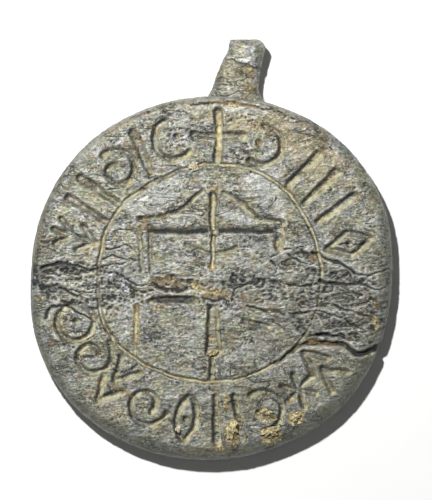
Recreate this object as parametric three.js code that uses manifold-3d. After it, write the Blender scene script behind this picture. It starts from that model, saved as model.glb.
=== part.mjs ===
// A medieval lead seal matrix: a thick cast disc with a sunk, engraved face and a short pierced lug for a cord.
// Millimetres, +Z up. The matrix lies on its back: the origin is the centre of the flat back, the engraved face
// looks up, and the lug points along +Y.
import * as THREE from "three";
import { mergeVertices } from "three/addons/utils/BufferGeometryUtils.js";
import Module from "manifold-3d";

const wasm = await Module();
wasm.setup();

// The disc
const DISC_RADIUS = 18.5; // mean radius of the uneven outline
const DISC_THICKNESS = 4.4;
const BACK_EDGE_ROUND = 0.7; // radius of the edge round the back
const FACE_EDGE_WIDTH = 1.3; // how far the worn front edge runs in over the face, on the average
const FACE_EDGE_DROP = 1.4; // and how far it falls
const EDGE_WEAR = 0.35; // the share by which it is wider where it is most worn, and narrower opposite
const EDGE_WEAR_BEARING = -50; // degrees from +X
const DISC_FACETS = 96;
// How far the outline stands out from the mean radius, every 22.5 degrees from +X
const OUTLINE_SWELL = [
  -0.24, 0.38, 0.48, 0.13, -0.17, -0.22, -0.12, -0.22, -0.32, 0.28, 0.38, 0.1, -0.15, -0.22, 0.03, -0.17,
];

// The lug, measured along its own bent axis
const LUG_OFFSET = 2.35; // how far right of the middle its axis leaves the disc
const LUG_LEAN = 15.5; // degrees, to the right
const LUG_BEND_END = 4.7; // the axis bends up to here and runs straight up beyond
const LUG_LENGTH = 5.6; // from the mean outline to the tip
const LUG_FOOT_WIDTH = 4.8;
const LUG_TIP_WIDTH = 3.8;
const LUG_TIP_ROUND = 1.1; // of its right corner
const LUG_TIP_SKEW = 0.75; // the share by which the left corner is less round
const LUG_FILLET = 0.9; // how far each side spreads into the rim
const LUG_ROOT = 2.2; // how deep the foot runs into the disc
const LUG_THICKNESS = 2.9;
const LUG_SQUARENESS = 0.55; // of its section: 1 is an ellipse, 0 a rectangle
const LUG_FACETS = 28;
const HEAD_LENGTH = 2.5; // the swollen end round the eye
const HEAD_RISE = 0.4; // how far it stands proud of the foot, front and back
const HEAD_SLANT = -0.3; // its chipped lower border falls to the right by this much per millimetre
const HEAD_BACK_CLEARANCE = 0.2; // the head stays clear of what the disc lies on
const EYE_RADIUS = 0.7;

// The engraved ring
const RING_RADIUS = 11.05;
const RING_WIDTH = 0.45;
const RING_DEPTH = 0.4;
const RING_CENTRE = new THREE.Vector2(-0.2, 0.4);
const RING_FACETS = 60;
// How far the hand-cut ring strays from a true circle, every 30 degrees from +X
const RING_STRAY = [0.2, 0.05, 0.35, -0.1, -0.35, 0.1, 0.0, 0.6, -0.1, -0.3, 0.0, 0.35];

// The device inside the ring, measured from the ring's centre
const STEM_X = 0.35; // the upright stands a little right of the middle
const STEM_WIDTH = 0.8;
const ROOF_CLEARANCE = 2.5; // from the ring down to the top of the roof
const ROOF_STEP = 0.15; // the field under the roof starts this deep, and slopes down to the bar
const ARM_CLEARANCE = 2.3; // from the ring in to the ends of the arms
const EAVE_HEIGHT = 5.5;
const BAR_HEIGHT = 4.1;
const BAR_WIDTH = 0.7;
const CUP_HEIGHT = 2.9; // the shallow cup under the bar
const CUP_HALF_WIDTH = 2.4;
const CUP_SAG = 0.75;
const POST_WIDTH = 1; // between the two thin lines of the left post
const POST_INSET = 0.65; // the left post stands this much nearer the stem
const SILL_HEIGHT = -0.2; // the thin line at the left arm's foot
const BREAK_HEIGHT = -2.5; // the bold broken bar across the middle
const LOWER_STEM_TOP = -3.4;
const LOWER_STEM_FOOT = -8.3;
const LOWER_STEM_WIDTH = 1.15;
const LOWER_STEM_FOOT_WIDTH = 1.7;
const TAIL_CLEARANCE = 0.3; // from the tail's end to the ring
const TICK_START = 3.3; // the slanted mark right of the lower stem
const TICK_HEIGHT = -4.65;
const TICK_LENGTH = 2.7;
const TICK_FALL = 0.6;

// The border of ornaments between the ring and the edge
const BORDER_CLEARANCE = 0.5; // from the ring and from the worn edge
const ORNAMENT_HALF_WIDTH = 1.35;
const STROKE_WIDTH = 0.75;
const ENGRAVING_DEPTH = 0.5;
const FLOOR_SHARE = 0.5; // a groove's floor, as a share of its width at the face
const PELLET_RADIUS = 0.35;

// The small cross at the top of the border
const CROSS_X = 0.75;
const CROSS_HALF_SPAN = 2.45;
const CROSS_WIDTH = 0.7; // at the crossing
const CROSS_END_WIDTH = 1.25;

// The split that runs in from the rim
const SPLIT_BEARING = -22; // degrees from +X
const SPLIT_MOUTH_WIDTH = 1.1;
const SPLIT_END_WIDTH = 0.25;
const SPLIT_DEPTH = 0.9;
const SPLIT_COURSE = [[15, -7.6], [13.4, -6.8], [11.9, -6.5], [9.6, -6.6], [7.8, -7.6]];

// The stretches where the brittle skin has broken away in layers: middle, length, width and turn in degrees
const BROKEN_STRETCHES = {
  left: { at: [-12.6, -0.7], long: 12, wide: 4.4, turn: -3 },
  rusty: { at: [-3.8, -0.6], long: 5.6, wide: 1.8, turn: -2 },
  middle: { at: [3.7, -1.5], long: 9.6, wide: 3.4, turn: 2 },
  right: { at: [12.6, -2.7], long: 10.6, wide: 8, turn: -10 },
  upper: { at: [8.6, 1.6], long: 4.6, wide: 2.4, turn: 15 },
};
const LAYER_DEPTH = 0.22; // each stretch goes down by two layers
const LAYER_SHARES = [0.9, 0.55]; // how far out the floor of each layer reaches
const BROKEN_SWELL = [0.06, -0.14, 0.1, -0.05, 0.12, -0.1, 0.03, 0.14, -0.12]; // shares, round the outline
const BROKEN_FACETS = 18;

const CUT_CLEARANCE = 0.3; // how far a cutter stands out of the metal
const CRUMB_FACETS = 14;

const faceHeight = DISC_THICKNESS;
const ringInside = RING_RADIUS - RING_WIDTH / 2;
const borderInside = RING_RADIUS + RING_WIDTH / 2 + BORDER_CLEARANCE;
const borderOutside = DISC_RADIUS - FACE_EDGE_WIDTH - BORDER_CLEARANCE;
const borderRadius = (borderInside + borderOutside) / 2;
const halfHeight = (borderOutside - borderInside) / 2;
const roofTop = ringInside - ROOF_CLEARANCE;
const armEnd = Math.sqrt(ringInside ** 2 - EAVE_HEIGHT ** 2) - ARM_CLEARANCE;

// What is stuck to the face since it lay in the ground: its stuff, place, size along and across, turn and height.
const CRUMBS = {
  ring_grit_grain: { stuff: "grit", at: onRing(98), long: 1.2, wide: 0.95, turn: 20, high: 0.45 },
  border_grit_grain: { stuff: "grit", at: onBorder(257.8, 1.2), long: 0.9, wide: 0.7, turn: 80, high: 0.4 },
  stem_earth_crust: { stuff: "earth", at: onStemFoot(), long: 1.4, wide: 0.9, turn: 10, high: 0.3 },
  lower_earth_crust: { stuff: "earth", at: onBorder(277.8, 1.2), long: 2.6, wide: 1.4, turn: 75, high: 0.5 },
  inner_earth_crust: { stuff: "earth", at: onBorder(292.5, 0.3), long: 1.6, wide: 0.8, turn: -15, high: 0.3 },
  outer_earth_crust: { stuff: "earth", at: onBorder(291, 2.2), long: 2.3, wide: 1.3, turn: 10, high: 0.5 },
  side_earth_crust: { stuff: "earth", at: onBorder(301.4, 2), long: 1.5, wide: 1.1, turn: 30, high: 0.35 },
};
const CRUMB_SWELL = [0.08, -0.1, 0.05, 0.12, -0.12, 0.02, -0.05]; // shares of its size, round its outline

const STUFFS = {
  lead: { color: 0x89887d, roughness: 0.55, metalness: 0.5 },
  earth: { color: 0xb8a876, roughness: 0.95, metalness: 0 },
  grit: { color: 0xd5ccb0, roughness: 0.85, metalness: 0 },
};

// Makes a solid of a closed geometry.
function solid(geometry) {
  const bare = geometry.clone();
  bare.deleteAttribute("normal");
  bare.deleteAttribute("uv");
  const merged = mergeVertices(bare, 1e-4);
  const corners = merged.index.array;
  const triVerts = [];
  for (let i = 0; i < corners.length; i += 3) {
    const [a, b, c] = corners.slice(i, i + 3);
    if (a !== b && b !== c && c !== a) triVerts.push(a, b, c);
  }
  const vertProperties = new Float32Array(merged.attributes.position.array);
  return new wasm.Manifold(new wasm.Mesh({ numProp: 3, vertProperties, triVerts: new Uint32Array(triVerts) }));
}

function geometryOf(body) {
  const { vertProperties, triVerts } = body.getMesh();
  const geometry = new THREE.BufferGeometry();
  geometry.setAttribute("position", new THREE.BufferAttribute(new Float32Array(vertProperties), 3));
  geometry.setIndex(new THREE.BufferAttribute(new Uint32Array(triVerts), 1));
  geometry.computeVertexNormals();
  return geometry;
}

// A smooth closed run through evenly spaced values: the Catmull-Rom blend of the four round the angle.
function roundTheCircle(values, angle) {
  const count = values.length;
  const place = THREE.MathUtils.euclideanModulo(angle / (2 * Math.PI), 1) * count;
  const t = place % 1;
  const [a, b, c, d] = [-1, 0, 1, 2].map((k) => values[(Math.floor(place) + k + count) % count]);
  return b + 0.5 * t * (c - a + t * (2 * a - 5 * b + 4 * c - d + t * (3 * (b - c) + d - a)));
}

// The point at a radius and a bearing in degrees from +X.
function polar(radius, bearing) {
  return new THREE.Vector2(radius, 0).rotateAround(new THREE.Vector2(), THREE.MathUtils.degToRad(bearing));
}

function outlineRadius(angle) {
  return DISC_RADIUS + roundTheCircle(OUTLINE_SWELL, angle);
}

// Revolves a half profile about +Z and then swells it: grow(angle, radius, height) is the factor on each radius.
function swelledRevolve(half, arcSteps, facets, grow) {
  const geometry = new THREE.LatheGeometry(half.getPoints(arcSteps), facets);
  geometry.rotateX(Math.PI / 2);
  const spot = geometry.attributes.position;
  for (let i = 0; i < spot.count; i++) {
    const angle = Math.atan2(spot.getY(i), spot.getX(i));
    const factor = grow(angle, Math.hypot(spot.getX(i), spot.getY(i)), spot.getZ(i));
    spot.setXY(i, spot.getX(i) * factor, spot.getY(i) * factor);
  }
  return geometry;
}

// How much wider or narrower than the mean the worn front edge is at a bearing.
function edgeWear(angle) {
  return 1 + EDGE_WEAR * Math.cos(angle - THREE.MathUtils.degToRad(EDGE_WEAR_BEARING));
}

// The disc: flat behind, worn round in front.
function disc() {
  const half = new THREE.Path();
  half.moveTo(0, 0);
  half.lineTo(DISC_RADIUS - BACK_EDGE_ROUND, 0);
  half.absarc(DISC_RADIUS - BACK_EDGE_ROUND, BACK_EDGE_ROUND, BACK_EDGE_ROUND, -Math.PI / 2, 0);
  const brink = [DISC_RADIUS - FACE_EDGE_WIDTH, DISC_THICKNESS - FACE_EDGE_DROP];
  half.absellipse(...brink, FACE_EDGE_WIDTH, FACE_EDGE_DROP, 0, Math.PI / 2);
  half.lineTo(0, DISC_THICKNESS);
  return solid(swelledRevolve(half, 5, DISC_FACETS, (angle, radius, height) => {
    const onEdge = radius > 0 && height > DISC_THICKNESS - FACE_EDGE_DROP;
    const stretch = onEdge ? 1 - ((DISC_RADIUS - radius) * (edgeWear(angle) - 1)) / radius : 1;
    return (stretch * outlineRadius(angle)) / DISC_RADIUS;
  }));
}

// Joins rings of points, all of one count, into a solid. Seen from the first ring, each ring runs anticlockwise.
function loft(rings, closed = false) {
  const sides = rings[0].length;
  const faces = [];
  for (let i = 0; i < (closed ? rings.length : rings.length - 1); i++) {
    const [here, there] = [sides * i, sides * ((i + 1) % rings.length)];
    for (let k = 0; k < sides; k++) {
      const next = (k + 1) % sides;
      faces.push(here + k, there + k, there + next, here + k, there + next, here + next);
    }
  }
  const end = sides * (rings.length - 1);
  for (let k = 1; k < sides - 1 && !closed; k++) {
    faces.push(0, k, k + 1, end, end + k + 1, end + k);
  }
  const geometry = new THREE.BufferGeometry();
  geometry.setAttribute("position", new THREE.Float32BufferAttribute(rings.flat(2), 3));
  geometry.setIndex(faces);
  return solid(geometry);
}

// The lug's sections from its root inside the disc to its tip: how far along, half the width, half the thickness,
// how far the left side stands out again at the tip, and how far the section slants.
function lugSections() {
  const foot = LUG_FOOT_WIDTH / 2;
  const thick = LUG_THICKNESS / 2;
  const headStart = LUG_LENGTH - HEAD_LENGTH;
  const roundStart = LUG_LENGTH - LUG_TIP_ROUND;
  const width = (along) => THREE.MathUtils.mapLinear(along, 0, roundStart, foot, LUG_TIP_WIDTH / 2);
  const fillet = new THREE.QuadraticBezierCurve(
    new THREE.Vector2(foot + LUG_FILLET, -LUG_FILLET),
    new THREE.Vector2(foot, -LUG_FILLET / 2),
    new THREE.Vector2(foot, LUG_FILLET),
  );
  const brink = headStart + HEAD_RISE / 2;
  const shank = [0.35, 0.65, 0.95].map((share) => {
    return [share * headStart, width(share * headStart), thick, 0, share * HEAD_SLANT];
  });
  const head = [
    [brink, width(brink), thick + HEAD_RISE, 0, HEAD_SLANT],
    [roundStart, width(roundStart), thick + HEAD_RISE],
  ];
  const tip = [1, 2, 3, 4].map((step) => {
    const turn = (step * Math.PI) / 8;
    const inset = LUG_TIP_ROUND * (1 - Math.cos(turn));
    const tall = thick + HEAD_RISE - inset;
    return [roundStart + LUG_TIP_ROUND * Math.sin(turn), width(roundStart) - inset, tall, LUG_TIP_SKEW * inset];
  });
  return [
    [-LUG_ROOT, foot + LUG_FILLET, thick],
    ...fillet.getPoints(4).map(({ x, y }) => [y, x, thick]),
    ...shank,
    ...head,
    ...tip,
  ];
}

// Where the lug's bent axis stands, so far along from the rim: upright at its foot and leaning more and more.
function lugAxis(along) {
  const lean = LUG_BEND_END * Math.tan(THREE.MathUtils.degToRad(LUG_LEAN));
  const x = LUG_OFFSET + lean * THREE.MathUtils.clamp(along / LUG_BEND_END, 0, 1) ** 1.5;
  return new THREE.Vector2(x, Math.sqrt(DISC_RADIUS ** 2 - LUG_OFFSET ** 2) + along);
}

// The lug: a bent, tapering tongue that spreads into the rim, and a swollen head pierced from side to side.
function lug() {
  const middle = HEAD_BACK_CLEARANCE + LUG_THICKNESS / 2 + HEAD_RISE;
  const rings = lugSections().map(([along, halfWidth, halfThickness, leftSpare = 0, slant = 0]) => {
    const { x, y } = lugAxis(along);
    return Array.from({ length: LUG_FACETS }, (_, i) => {
      const [c, s] = [Math.cos((2 * Math.PI * i) / LUG_FACETS), Math.sin((2 * Math.PI * i) / LUG_FACETS)];
      const square = (share) => Math.sign(share) * Math.abs(share) ** LUG_SQUARENESS;
      const out = (halfWidth + (c < 0 ? leftSpare : 0)) * square(c);
      return [x + out, y + slant * out, middle + halfThickness * square(s)];
    });
  });
  const eye = new THREE.CylinderGeometry(EYE_RADIUS, EYE_RADIUS, LUG_FOOT_WIDTH + 2 * CUT_CLEARANCE, 20);
  const { x, y } = lugAxis(LUG_LENGTH - HEAD_LENGTH / 2);
  return loft(rings).subtract(solid(eye.rotateZ(Math.PI / 2).translate(x, y, middle)));
}

// The solid that a groove takes out. Its section is a trapezoid, widest at the face, and it follows a stroke:
// a list of stations, each with x, y and the groove's width there.
function groove(stations, depth = ENGRAVING_DEPTH, closed = false) {
  const last = stations.length - 1;
  const rings = stations.map(({ x, y, width }, i) => {
    const before = stations[closed ? (i + last) % stations.length : Math.max(i - 1, 0)];
    const after = stations[closed ? (i + 1) % stations.length : Math.min(i + 1, last)];
    const run = Math.hypot(after.x - before.x, after.y - before.y);
    const side = [(before.y - after.y) / run, (after.x - before.x) / run];
    const floor = (width / 2) * FLOOR_SHARE;
    const mouth = floor + (width / 2 - floor) * (1 + CUT_CLEARANCE / depth);
    const section = [[mouth, CUT_CLEARANCE], [floor, -depth], [-floor, -depth], [-mouth, CUT_CLEARANCE]];
    return section.map(([out, up]) => [x + side[0] * out, y + side[1] * out, faceHeight + up]);
  });
  return loft(rings, closed);
}

// A stroke through the points given, curved where there are more than two, that may widen on the way.
function stroke(points, startWidth = STROKE_WIDTH, endWidth = startWidth) {
  const steps = points.length === 2 ? 1 : 3 * (points.length - 1);
  const course = new THREE.SplineCurve(points.map(([x, y]) => new THREE.Vector2(x, y)));
  return course.getPoints(steps).map(({ x, y }, i) => ({
    x,
    y,
    width: startWidth + (i / steps) * (endWidth - startWidth),
  }));
}

// A stroke along an arc or, where its radius changes on the way, a curl. Angles are in degrees.
function bend([x, y], startRadius, startAngle, endAngle, endRadius = startRadius) {
  const steps = Math.ceil(Math.abs(endAngle - startAngle) / 26);
  return Array.from({ length: steps + 1 }, (_, i) => {
    const angle = THREE.MathUtils.degToRad(startAngle + (i / steps) * (endAngle - startAngle));
    const radius = startRadius + (i / steps) * (endRadius - startRadius);
    return { x: x + radius * Math.cos(angle), y: y + radius * Math.sin(angle), width: STROKE_WIDTH };
  });
}

// A small round sinking: an octagon, cut as one short stroke that is narrower at its ends.
function pellet(x, y) {
  const side = 2 * PELLET_RADIUS * Math.tan(Math.PI / 8);
  const rows = [[-PELLET_RADIUS, side], [-side / 2, 2 * PELLET_RADIUS]];
  const mirrored = rows.map(([up, width]) => [-up, width]).reverse();
  return [...rows, ...mirrored].map(([up, width]) => ({ x, y: y + up, width }));
}

// Mirrors strokes left to right and keeps both.
function paired(strokes) {
  return strokes.concat(strokes.map((one) => one.map(({ x, y, width }) => ({ x: -x, y, width }))));
}

// The border's ornaments. Each is a list of strokes drawn upright about its own middle, outwards being +Y.
const ORNAMENTS = {
  wedge: () => [stroke([[0, -halfHeight], [0, halfHeight]], STROKE_WIDTH, 1.5 * STROKE_WIDTH)],
  crescent: () => [bend([0.2 * halfHeight, 0], 0.8 * halfHeight, 70, 290), pellet(0.35 * halfHeight, 0)],
  curl: () => [bend([0, 0], 0.9 * halfHeight, 100, -300, 0.25 * halfHeight)],
  annulet: () => [bend([0, 0], 0.75 * halfHeight, 0, 345), pellet(0, 0)],
  leaf: () => paired([bend([-0.9 * halfHeight, 0], 1.3 * halfHeight, -46, 46)]).concat([pellet(0, 0)]),
  chevrons: () =>
    paired([-halfHeight, 0].map((foot) => stroke([[ORNAMENT_HALF_WIDTH, foot], [0, foot + halfHeight]]))),
  sprig: () =>
    paired([-0.2, 0.7].map((rise) =>
      stroke([[ORNAMENT_HALF_WIDTH, rise * halfHeight], [0, (rise - 0.6) * halfHeight]]),
    )).concat([stroke([[0, -halfHeight], [0, halfHeight]])]),
  star: () => [0, 60, 120].map((turn) => {
    const tip = polar(0.8 * halfHeight, turn);
    return stroke([[-tip.x, -tip.y], [tip.x, tip.y]]);
  }),
  lozenge: () => {
    const sides = [-1, 1].map((end) => stroke([[0, end * halfHeight], [ORNAMENT_HALF_WIDTH, 0]]));
    return paired(sides).concat([pellet(0, 0)]);
  },
};

// Where each ornament stands: its kind, its bearing in degrees from +X and its turn about its own middle.
const BORDER = [
  ["lozenge", 14, 0],
  ["wedge", 29, 6],
  ["wedge", 39.5, 4],
  ["wedge", 49.5, -4],
  ["crescent", 67, 180],
  ["crescent", 107, 20],
  ["wedge", 119, -6],
  ["curl", 131, 0],
  ["wedge", 142, 4],
  ["wedge", 151, -3],
  ["sprig", 163, 0],
  ["annulet", 198, 0],
  ["curl", 213, 180],
  ["chevrons", 227, 0],
  ["curl", 243, 90],
  ["leaf", 260, 0],
  ["wedge", 272, 0],
  ["wedge", 281, 0],
  ["crescent", 293, 0],
  ["star", 308, 10],
  ["chevrons", 321, 180],
];

// Moves a stroke by a turn about the origin, in degrees, and then by a shift.
function moved(stations, turn, shift) {
  return stations.map(({ x, y, width }) => {
    const spot = new THREE.Vector2(x, y).rotateAround(new THREE.Vector2(), THREE.MathUtils.degToRad(turn));
    return { x: spot.x + shift.x, y: spot.y + shift.y, width };
  });
}

function border() {
  return BORDER.flatMap(([kind, bearing, turn]) =>
    ORNAMENTS[kind]().map((one) =>
      moved(moved(one, turn, new THREE.Vector2(0, borderRadius)), bearing - 90, new THREE.Vector2()),
    ),
  );
}

// The small cross whose arms widen towards their ends.
function cross() {
  const arm = stroke([[-CROSS_WIDTH / 2, 0], [CROSS_HALF_SPAN, 0]], CROSS_WIDTH, CROSS_END_WIDTH);
  return [0, 90, 180, 270].map((turn) => moved(arm, turn, new THREE.Vector2(CROSS_X, borderRadius)));
}

// The device: an upright under a hollow-sided roof, arms that end in posts, a cup, a broken bar and a lower stem.
function device() {
  const cup = [[-CUP_HALF_WIDTH, CUP_HEIGHT], [STEM_X, CUP_HEIGHT - CUP_SAG], [CUP_HALF_WIDTH, CUP_HEIGHT]];
  const hairline = STROKE_WIDTH / 2;
  return [
    ...paired([roofSide()]),
    stroke([[STEM_X, roofTop], [STEM_X, BAR_HEIGHT + BAR_WIDTH]], STEM_WIDTH),
    stroke([[STEM_X, BAR_HEIGHT - BAR_WIDTH / 2], [STEM_X, CUP_HEIGHT - 2.5 * CUP_SAG]], STEM_WIDTH),
    stroke([[-armEnd + POST_INSET + POST_WIDTH / 2, BAR_HEIGHT], [-STEM_WIDTH / 2, BAR_HEIGHT]], BAR_WIDTH),
    stroke([[STEM_X + STEM_WIDTH, BAR_HEIGHT], [armEnd, BAR_HEIGHT]], BAR_WIDTH),
    ...[-1, 1].map((side) => {
      const x = -armEnd + POST_INSET + (side * POST_WIDTH) / 2;
      return stroke([[x, EAVE_HEIGHT - hairline], [x, SILL_HEIGHT]], hairline);
    }),
    stroke([[armEnd, EAVE_HEIGHT], [armEnd, CUP_HEIGHT - CUP_SAG / 2]], 1.5 * STROKE_WIDTH),
    stroke(cup, hairline),
    stroke([[-armEnd + STROKE_WIDTH, SILL_HEIGHT], [-CUP_HALF_WIDTH / 2, SILL_HEIGHT]], hairline),
    stroke([[-armEnd + POST_INSET, BREAK_HEIGHT], [-CUP_HALF_WIDTH / 2, BREAK_HEIGHT]], BAR_WIDTH),
    stroke([[-armEnd - hairline, BREAK_HEIGHT - BAR_WIDTH], [-armEnd - hairline, LOWER_STEM_FOOT]], hairline),
    stroke([[STEM_X, LOWER_STEM_TOP], [STEM_X, LOWER_STEM_FOOT]], LOWER_STEM_WIDTH, LOWER_STEM_FOOT_WIDTH),
    stroke([[STEM_X, LOWER_STEM_FOOT - hairline], [STEM_X, -ringInside + TAIL_CLEARANCE]], STEM_WIDTH),
    stroke([[TICK_START, TICK_HEIGHT], [TICK_START + TICK_LENGTH, TICK_HEIGHT - TICK_FALL]]),
  ].map((one) => moved(one, 0, RING_CENTRE));
}

// One side of the roof, hollow like a tent's, from beside the stem out to the end of the arm.
function roofSide() {
  const top = STEM_X + STEM_WIDTH;
  const course = [[top, roofTop], [(top + armEnd) / 3, (roofTop + EAVE_HEIGHT) / 2], [0.8 * armEnd, EAVE_HEIGHT]];
  return stroke([...course, [armEnd, EAVE_HEIGHT]]);
}

// The sunk field under one side of the roof. Its floor starts a small step down and slopes to the bar's foot.
function roofField(side) {
  const outline = roofSide().map(({ x, y }) => new THREE.Vector2(side * x, y));
  const nearStem = side * STEM_X + STEM_WIDTH / 2;
  outline.push(new THREE.Vector2(side * armEnd, BAR_HEIGHT));
  outline.push(new THREE.Vector2(side * nearStem, BAR_HEIGHT), new THREE.Vector2(side * nearStem, roofTop));
  const field = new THREE.ExtrudeGeometry(new THREE.Shape(outline), { depth: 1, bevelEnabled: false });
  const spot = field.attributes.position;
  for (let i = 0; i < spot.count; i++) {
    const share = (roofTop - spot.getY(i)) / (roofTop - BAR_HEIGHT);
    const depth = THREE.MathUtils.lerp(ROOF_STEP, ENGRAVING_DEPTH, share);
    spot.setZ(i, faceHeight + (spot.getZ(i) > 0.5 ? CUT_CLEARANCE : -depth));
  }
  return solid(field.translate(RING_CENTRE.x, RING_CENTRE.y, 0));
}

// The point of the hand-cut ring at a bearing, in degrees.
function onRing(bearing) {
  const stray = roundTheCircle(RING_STRAY, THREE.MathUtils.degToRad(bearing));
  return polar(RING_RADIUS + stray, bearing).add(RING_CENTRE);
}

function ring() {
  return Array.from({ length: RING_FACETS }, (_, i) => {
    const { x, y } = onRing((360 * i) / RING_FACETS);
    return { x, y, width: RING_WIDTH };
  });
}

// The split starts outside the rim, so that its mouth shows in the edge as well.
function split() {
  const mouth = polar(outlineRadius(THREE.MathUtils.degToRad(SPLIT_BEARING)) + CUT_CLEARANCE, SPLIT_BEARING);
  return stroke([[mouth.x, mouth.y], ...SPLIT_COURSE], SPLIT_MOUTH_WIDTH, SPLIT_END_WIDTH);
}

// What a broken stretch takes out: a low bowl in two terraces, an uneven ellipse in plan.
function brokenStretch({ at: [x, y], long, wide, turn }) {
  const half = new THREE.Path();
  half.moveTo(0, -2 * LAYER_DEPTH);
  half.lineTo(LAYER_SHARES[1] - LAYER_DEPTH / wide, -2 * LAYER_DEPTH);
  half.lineTo(LAYER_SHARES[1], -LAYER_DEPTH);
  half.lineTo(LAYER_SHARES[0], -LAYER_DEPTH);
  half.lineTo(1, CUT_CLEARANCE);
  half.lineTo(0, CUT_CLEARANCE);
  const grow = (angle) => 1 + roundTheCircle(BROKEN_SWELL, angle + x);
  const bowl = swelledRevolve(half, 1, BROKEN_FACETS, grow).scale(long / 2, wide / 2, 1);
  return solid(bowl.rotateZ(THREE.MathUtils.degToRad(turn)).translate(x, y, faceHeight));
}

function casting() {
  return [...border(), ...cross(), ...device()]
    .map((one) => groove(one))
    .concat([groove(ring(), RING_DEPTH, true), groove(split(), SPLIT_DEPTH), roofField(-1), roofField(1)])
    .concat(Object.values(BROKEN_STRETCHES).map(brokenStretch))
    .reduce((body, cutter) => body.subtract(cutter), disc().add(lug()));
}

// A place in the border, by its bearing in degrees and how far out it lies from the middle of the band.
function onBorder(bearing, out) {
  return polar(borderRadius + out, bearing);
}

function onStemFoot() {
  return new THREE.Vector2(STEM_X, LOWER_STEM_FOOT + LOWER_STEM_FOOT_WIDTH / 4).add(RING_CENTRE);
}

// A crumb: a low uneven dome with a flat underside that lies on the face.
function crumb({ long, wide, turn, high }) {
  const half = new THREE.Path();
  half.moveTo(0, 0);
  half.lineTo(1, 0);
  half.absellipse(0, 0, 1, high, 0, Math.PI / 2);
  const dome = swelledRevolve(half, 4, CRUMB_FACETS, (angle) => 1 + roundTheCircle(CRUMB_SWELL, angle));
  dome.scale(long / 2, wide / 2, 1);
  return solid(dome.rotateZ(THREE.MathUtils.degToRad(turn)));
}

function piece(name, body, stuff) {
  const mesh = new THREE.Mesh(geometryOf(body), new THREE.MeshStandardMaterial(STUFFS[stuff]));
  mesh.name = name;
  return mesh;
}

const seal = new THREE.Group();
seal.add(piece("seal_casting", casting(), "lead"));
for (const [name, one] of Object.entries(CRUMBS)) {
  const mesh = piece(name, crumb(one), one.stuff);
  mesh.position.set(one.at.x, one.at.y, faceHeight);
  seal.add(mesh);
}

export default seal;
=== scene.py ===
# %% [markdown]
# # A medieval lead seal matrix
#
# The object is a thick disc of lead with a short pierced lug, poured in one go. Its face was then cut with a
# graver: a ring, a cross device under a roof, and a border of ornaments. Centuries in the ground cracked and
# flaked its skin, and left ochre earth in the grooves. Every size below is in millimetres and is turned into
# metres on its way into Blender. Only the patterns of the finishes are counted in cells to the metre. The
# imported model comes first, because every piece is made to fit inside its box.

# %% Start: the imported model
import math

import bpy
import numpy as np
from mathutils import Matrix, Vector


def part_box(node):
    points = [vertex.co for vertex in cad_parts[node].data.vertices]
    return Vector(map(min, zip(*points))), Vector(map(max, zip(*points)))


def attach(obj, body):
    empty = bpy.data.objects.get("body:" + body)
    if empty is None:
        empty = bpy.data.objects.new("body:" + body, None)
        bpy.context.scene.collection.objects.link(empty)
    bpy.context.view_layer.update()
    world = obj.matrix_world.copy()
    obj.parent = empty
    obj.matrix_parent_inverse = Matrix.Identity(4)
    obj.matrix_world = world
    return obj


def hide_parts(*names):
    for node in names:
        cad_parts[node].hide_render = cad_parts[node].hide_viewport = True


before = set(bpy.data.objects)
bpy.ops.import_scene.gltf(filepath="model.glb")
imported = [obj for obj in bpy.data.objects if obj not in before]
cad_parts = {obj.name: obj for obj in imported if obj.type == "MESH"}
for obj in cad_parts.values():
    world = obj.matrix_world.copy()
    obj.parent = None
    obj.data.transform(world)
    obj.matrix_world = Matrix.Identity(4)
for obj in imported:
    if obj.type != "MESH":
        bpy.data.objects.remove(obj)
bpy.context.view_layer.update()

MM = 0.001

# %% [markdown]
# ## Unevenness that repeats itself exactly
#
# Nothing on an old casting is even. Random numbers drawn point by point would give salt and pepper, and a
# texture from a file would carry somebody's photograph. Gradient noise does better: it is smooth, it has a
# chosen grain size, and a seed makes it come out the same on each run. Layers of it, each finer and
# fainter, look like the undulation of cast metal. Flakes come from scattered points: each point owns the
# area that is nearest to it.

# %% Noise
LATTICE = 64  # cells before the pattern repeats


def smooth_step(low, high, value):
    """3t^2 - 2t^3, where t is the share of the way from low to high, kept between 0 and 1."""
    t = np.clip((value - low) / (high - low), 0, 1)
    return t * t * (3 - 2 * t)


def uneven(x, y, z=0.0, seed=0):
    """Gradient noise: each corner of a unit cube has a random direction, its dot product with the offset
    from that corner is taken, and the eight are blended along each axis by 6t^5 - 15t^4 + 10t^3."""
    slopes = np.random.default_rng(seed).normal(size=(LATTICE, LATTICE, LATTICE, 3))
    slopes /= np.linalg.norm(slopes, axis=-1, keepdims=True)
    spot = np.stack(np.broadcast_arrays(x, y, z), -1)
    cell = np.floor(spot).astype(int)
    t = spot - cell
    near = t**3 * (t * (6 * t - 15) + 10)
    total = np.zeros(spot.shape[:-1])
    for corner in np.ndindex(2, 2, 2):
        i, j, k = np.moveaxis((cell + corner) % LATTICE, -1, 0)
        weight = np.prod(np.where(corner, near, 1 - near), axis=-1)
        total += weight * ((t - corner) * slopes[i, j, k]).sum(-1)
    return 1.6 * total


def layered(x, y, z=0.0, *, seed, layers, fading=0.5):
    """The sum of layers of uneven(), each twice as fine and fading times as strong as the one before."""
    return sum(fading**k * uneven(x * 2**k, y * 2**k, z * 2**k, seed + k) for k in range(layers))


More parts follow.
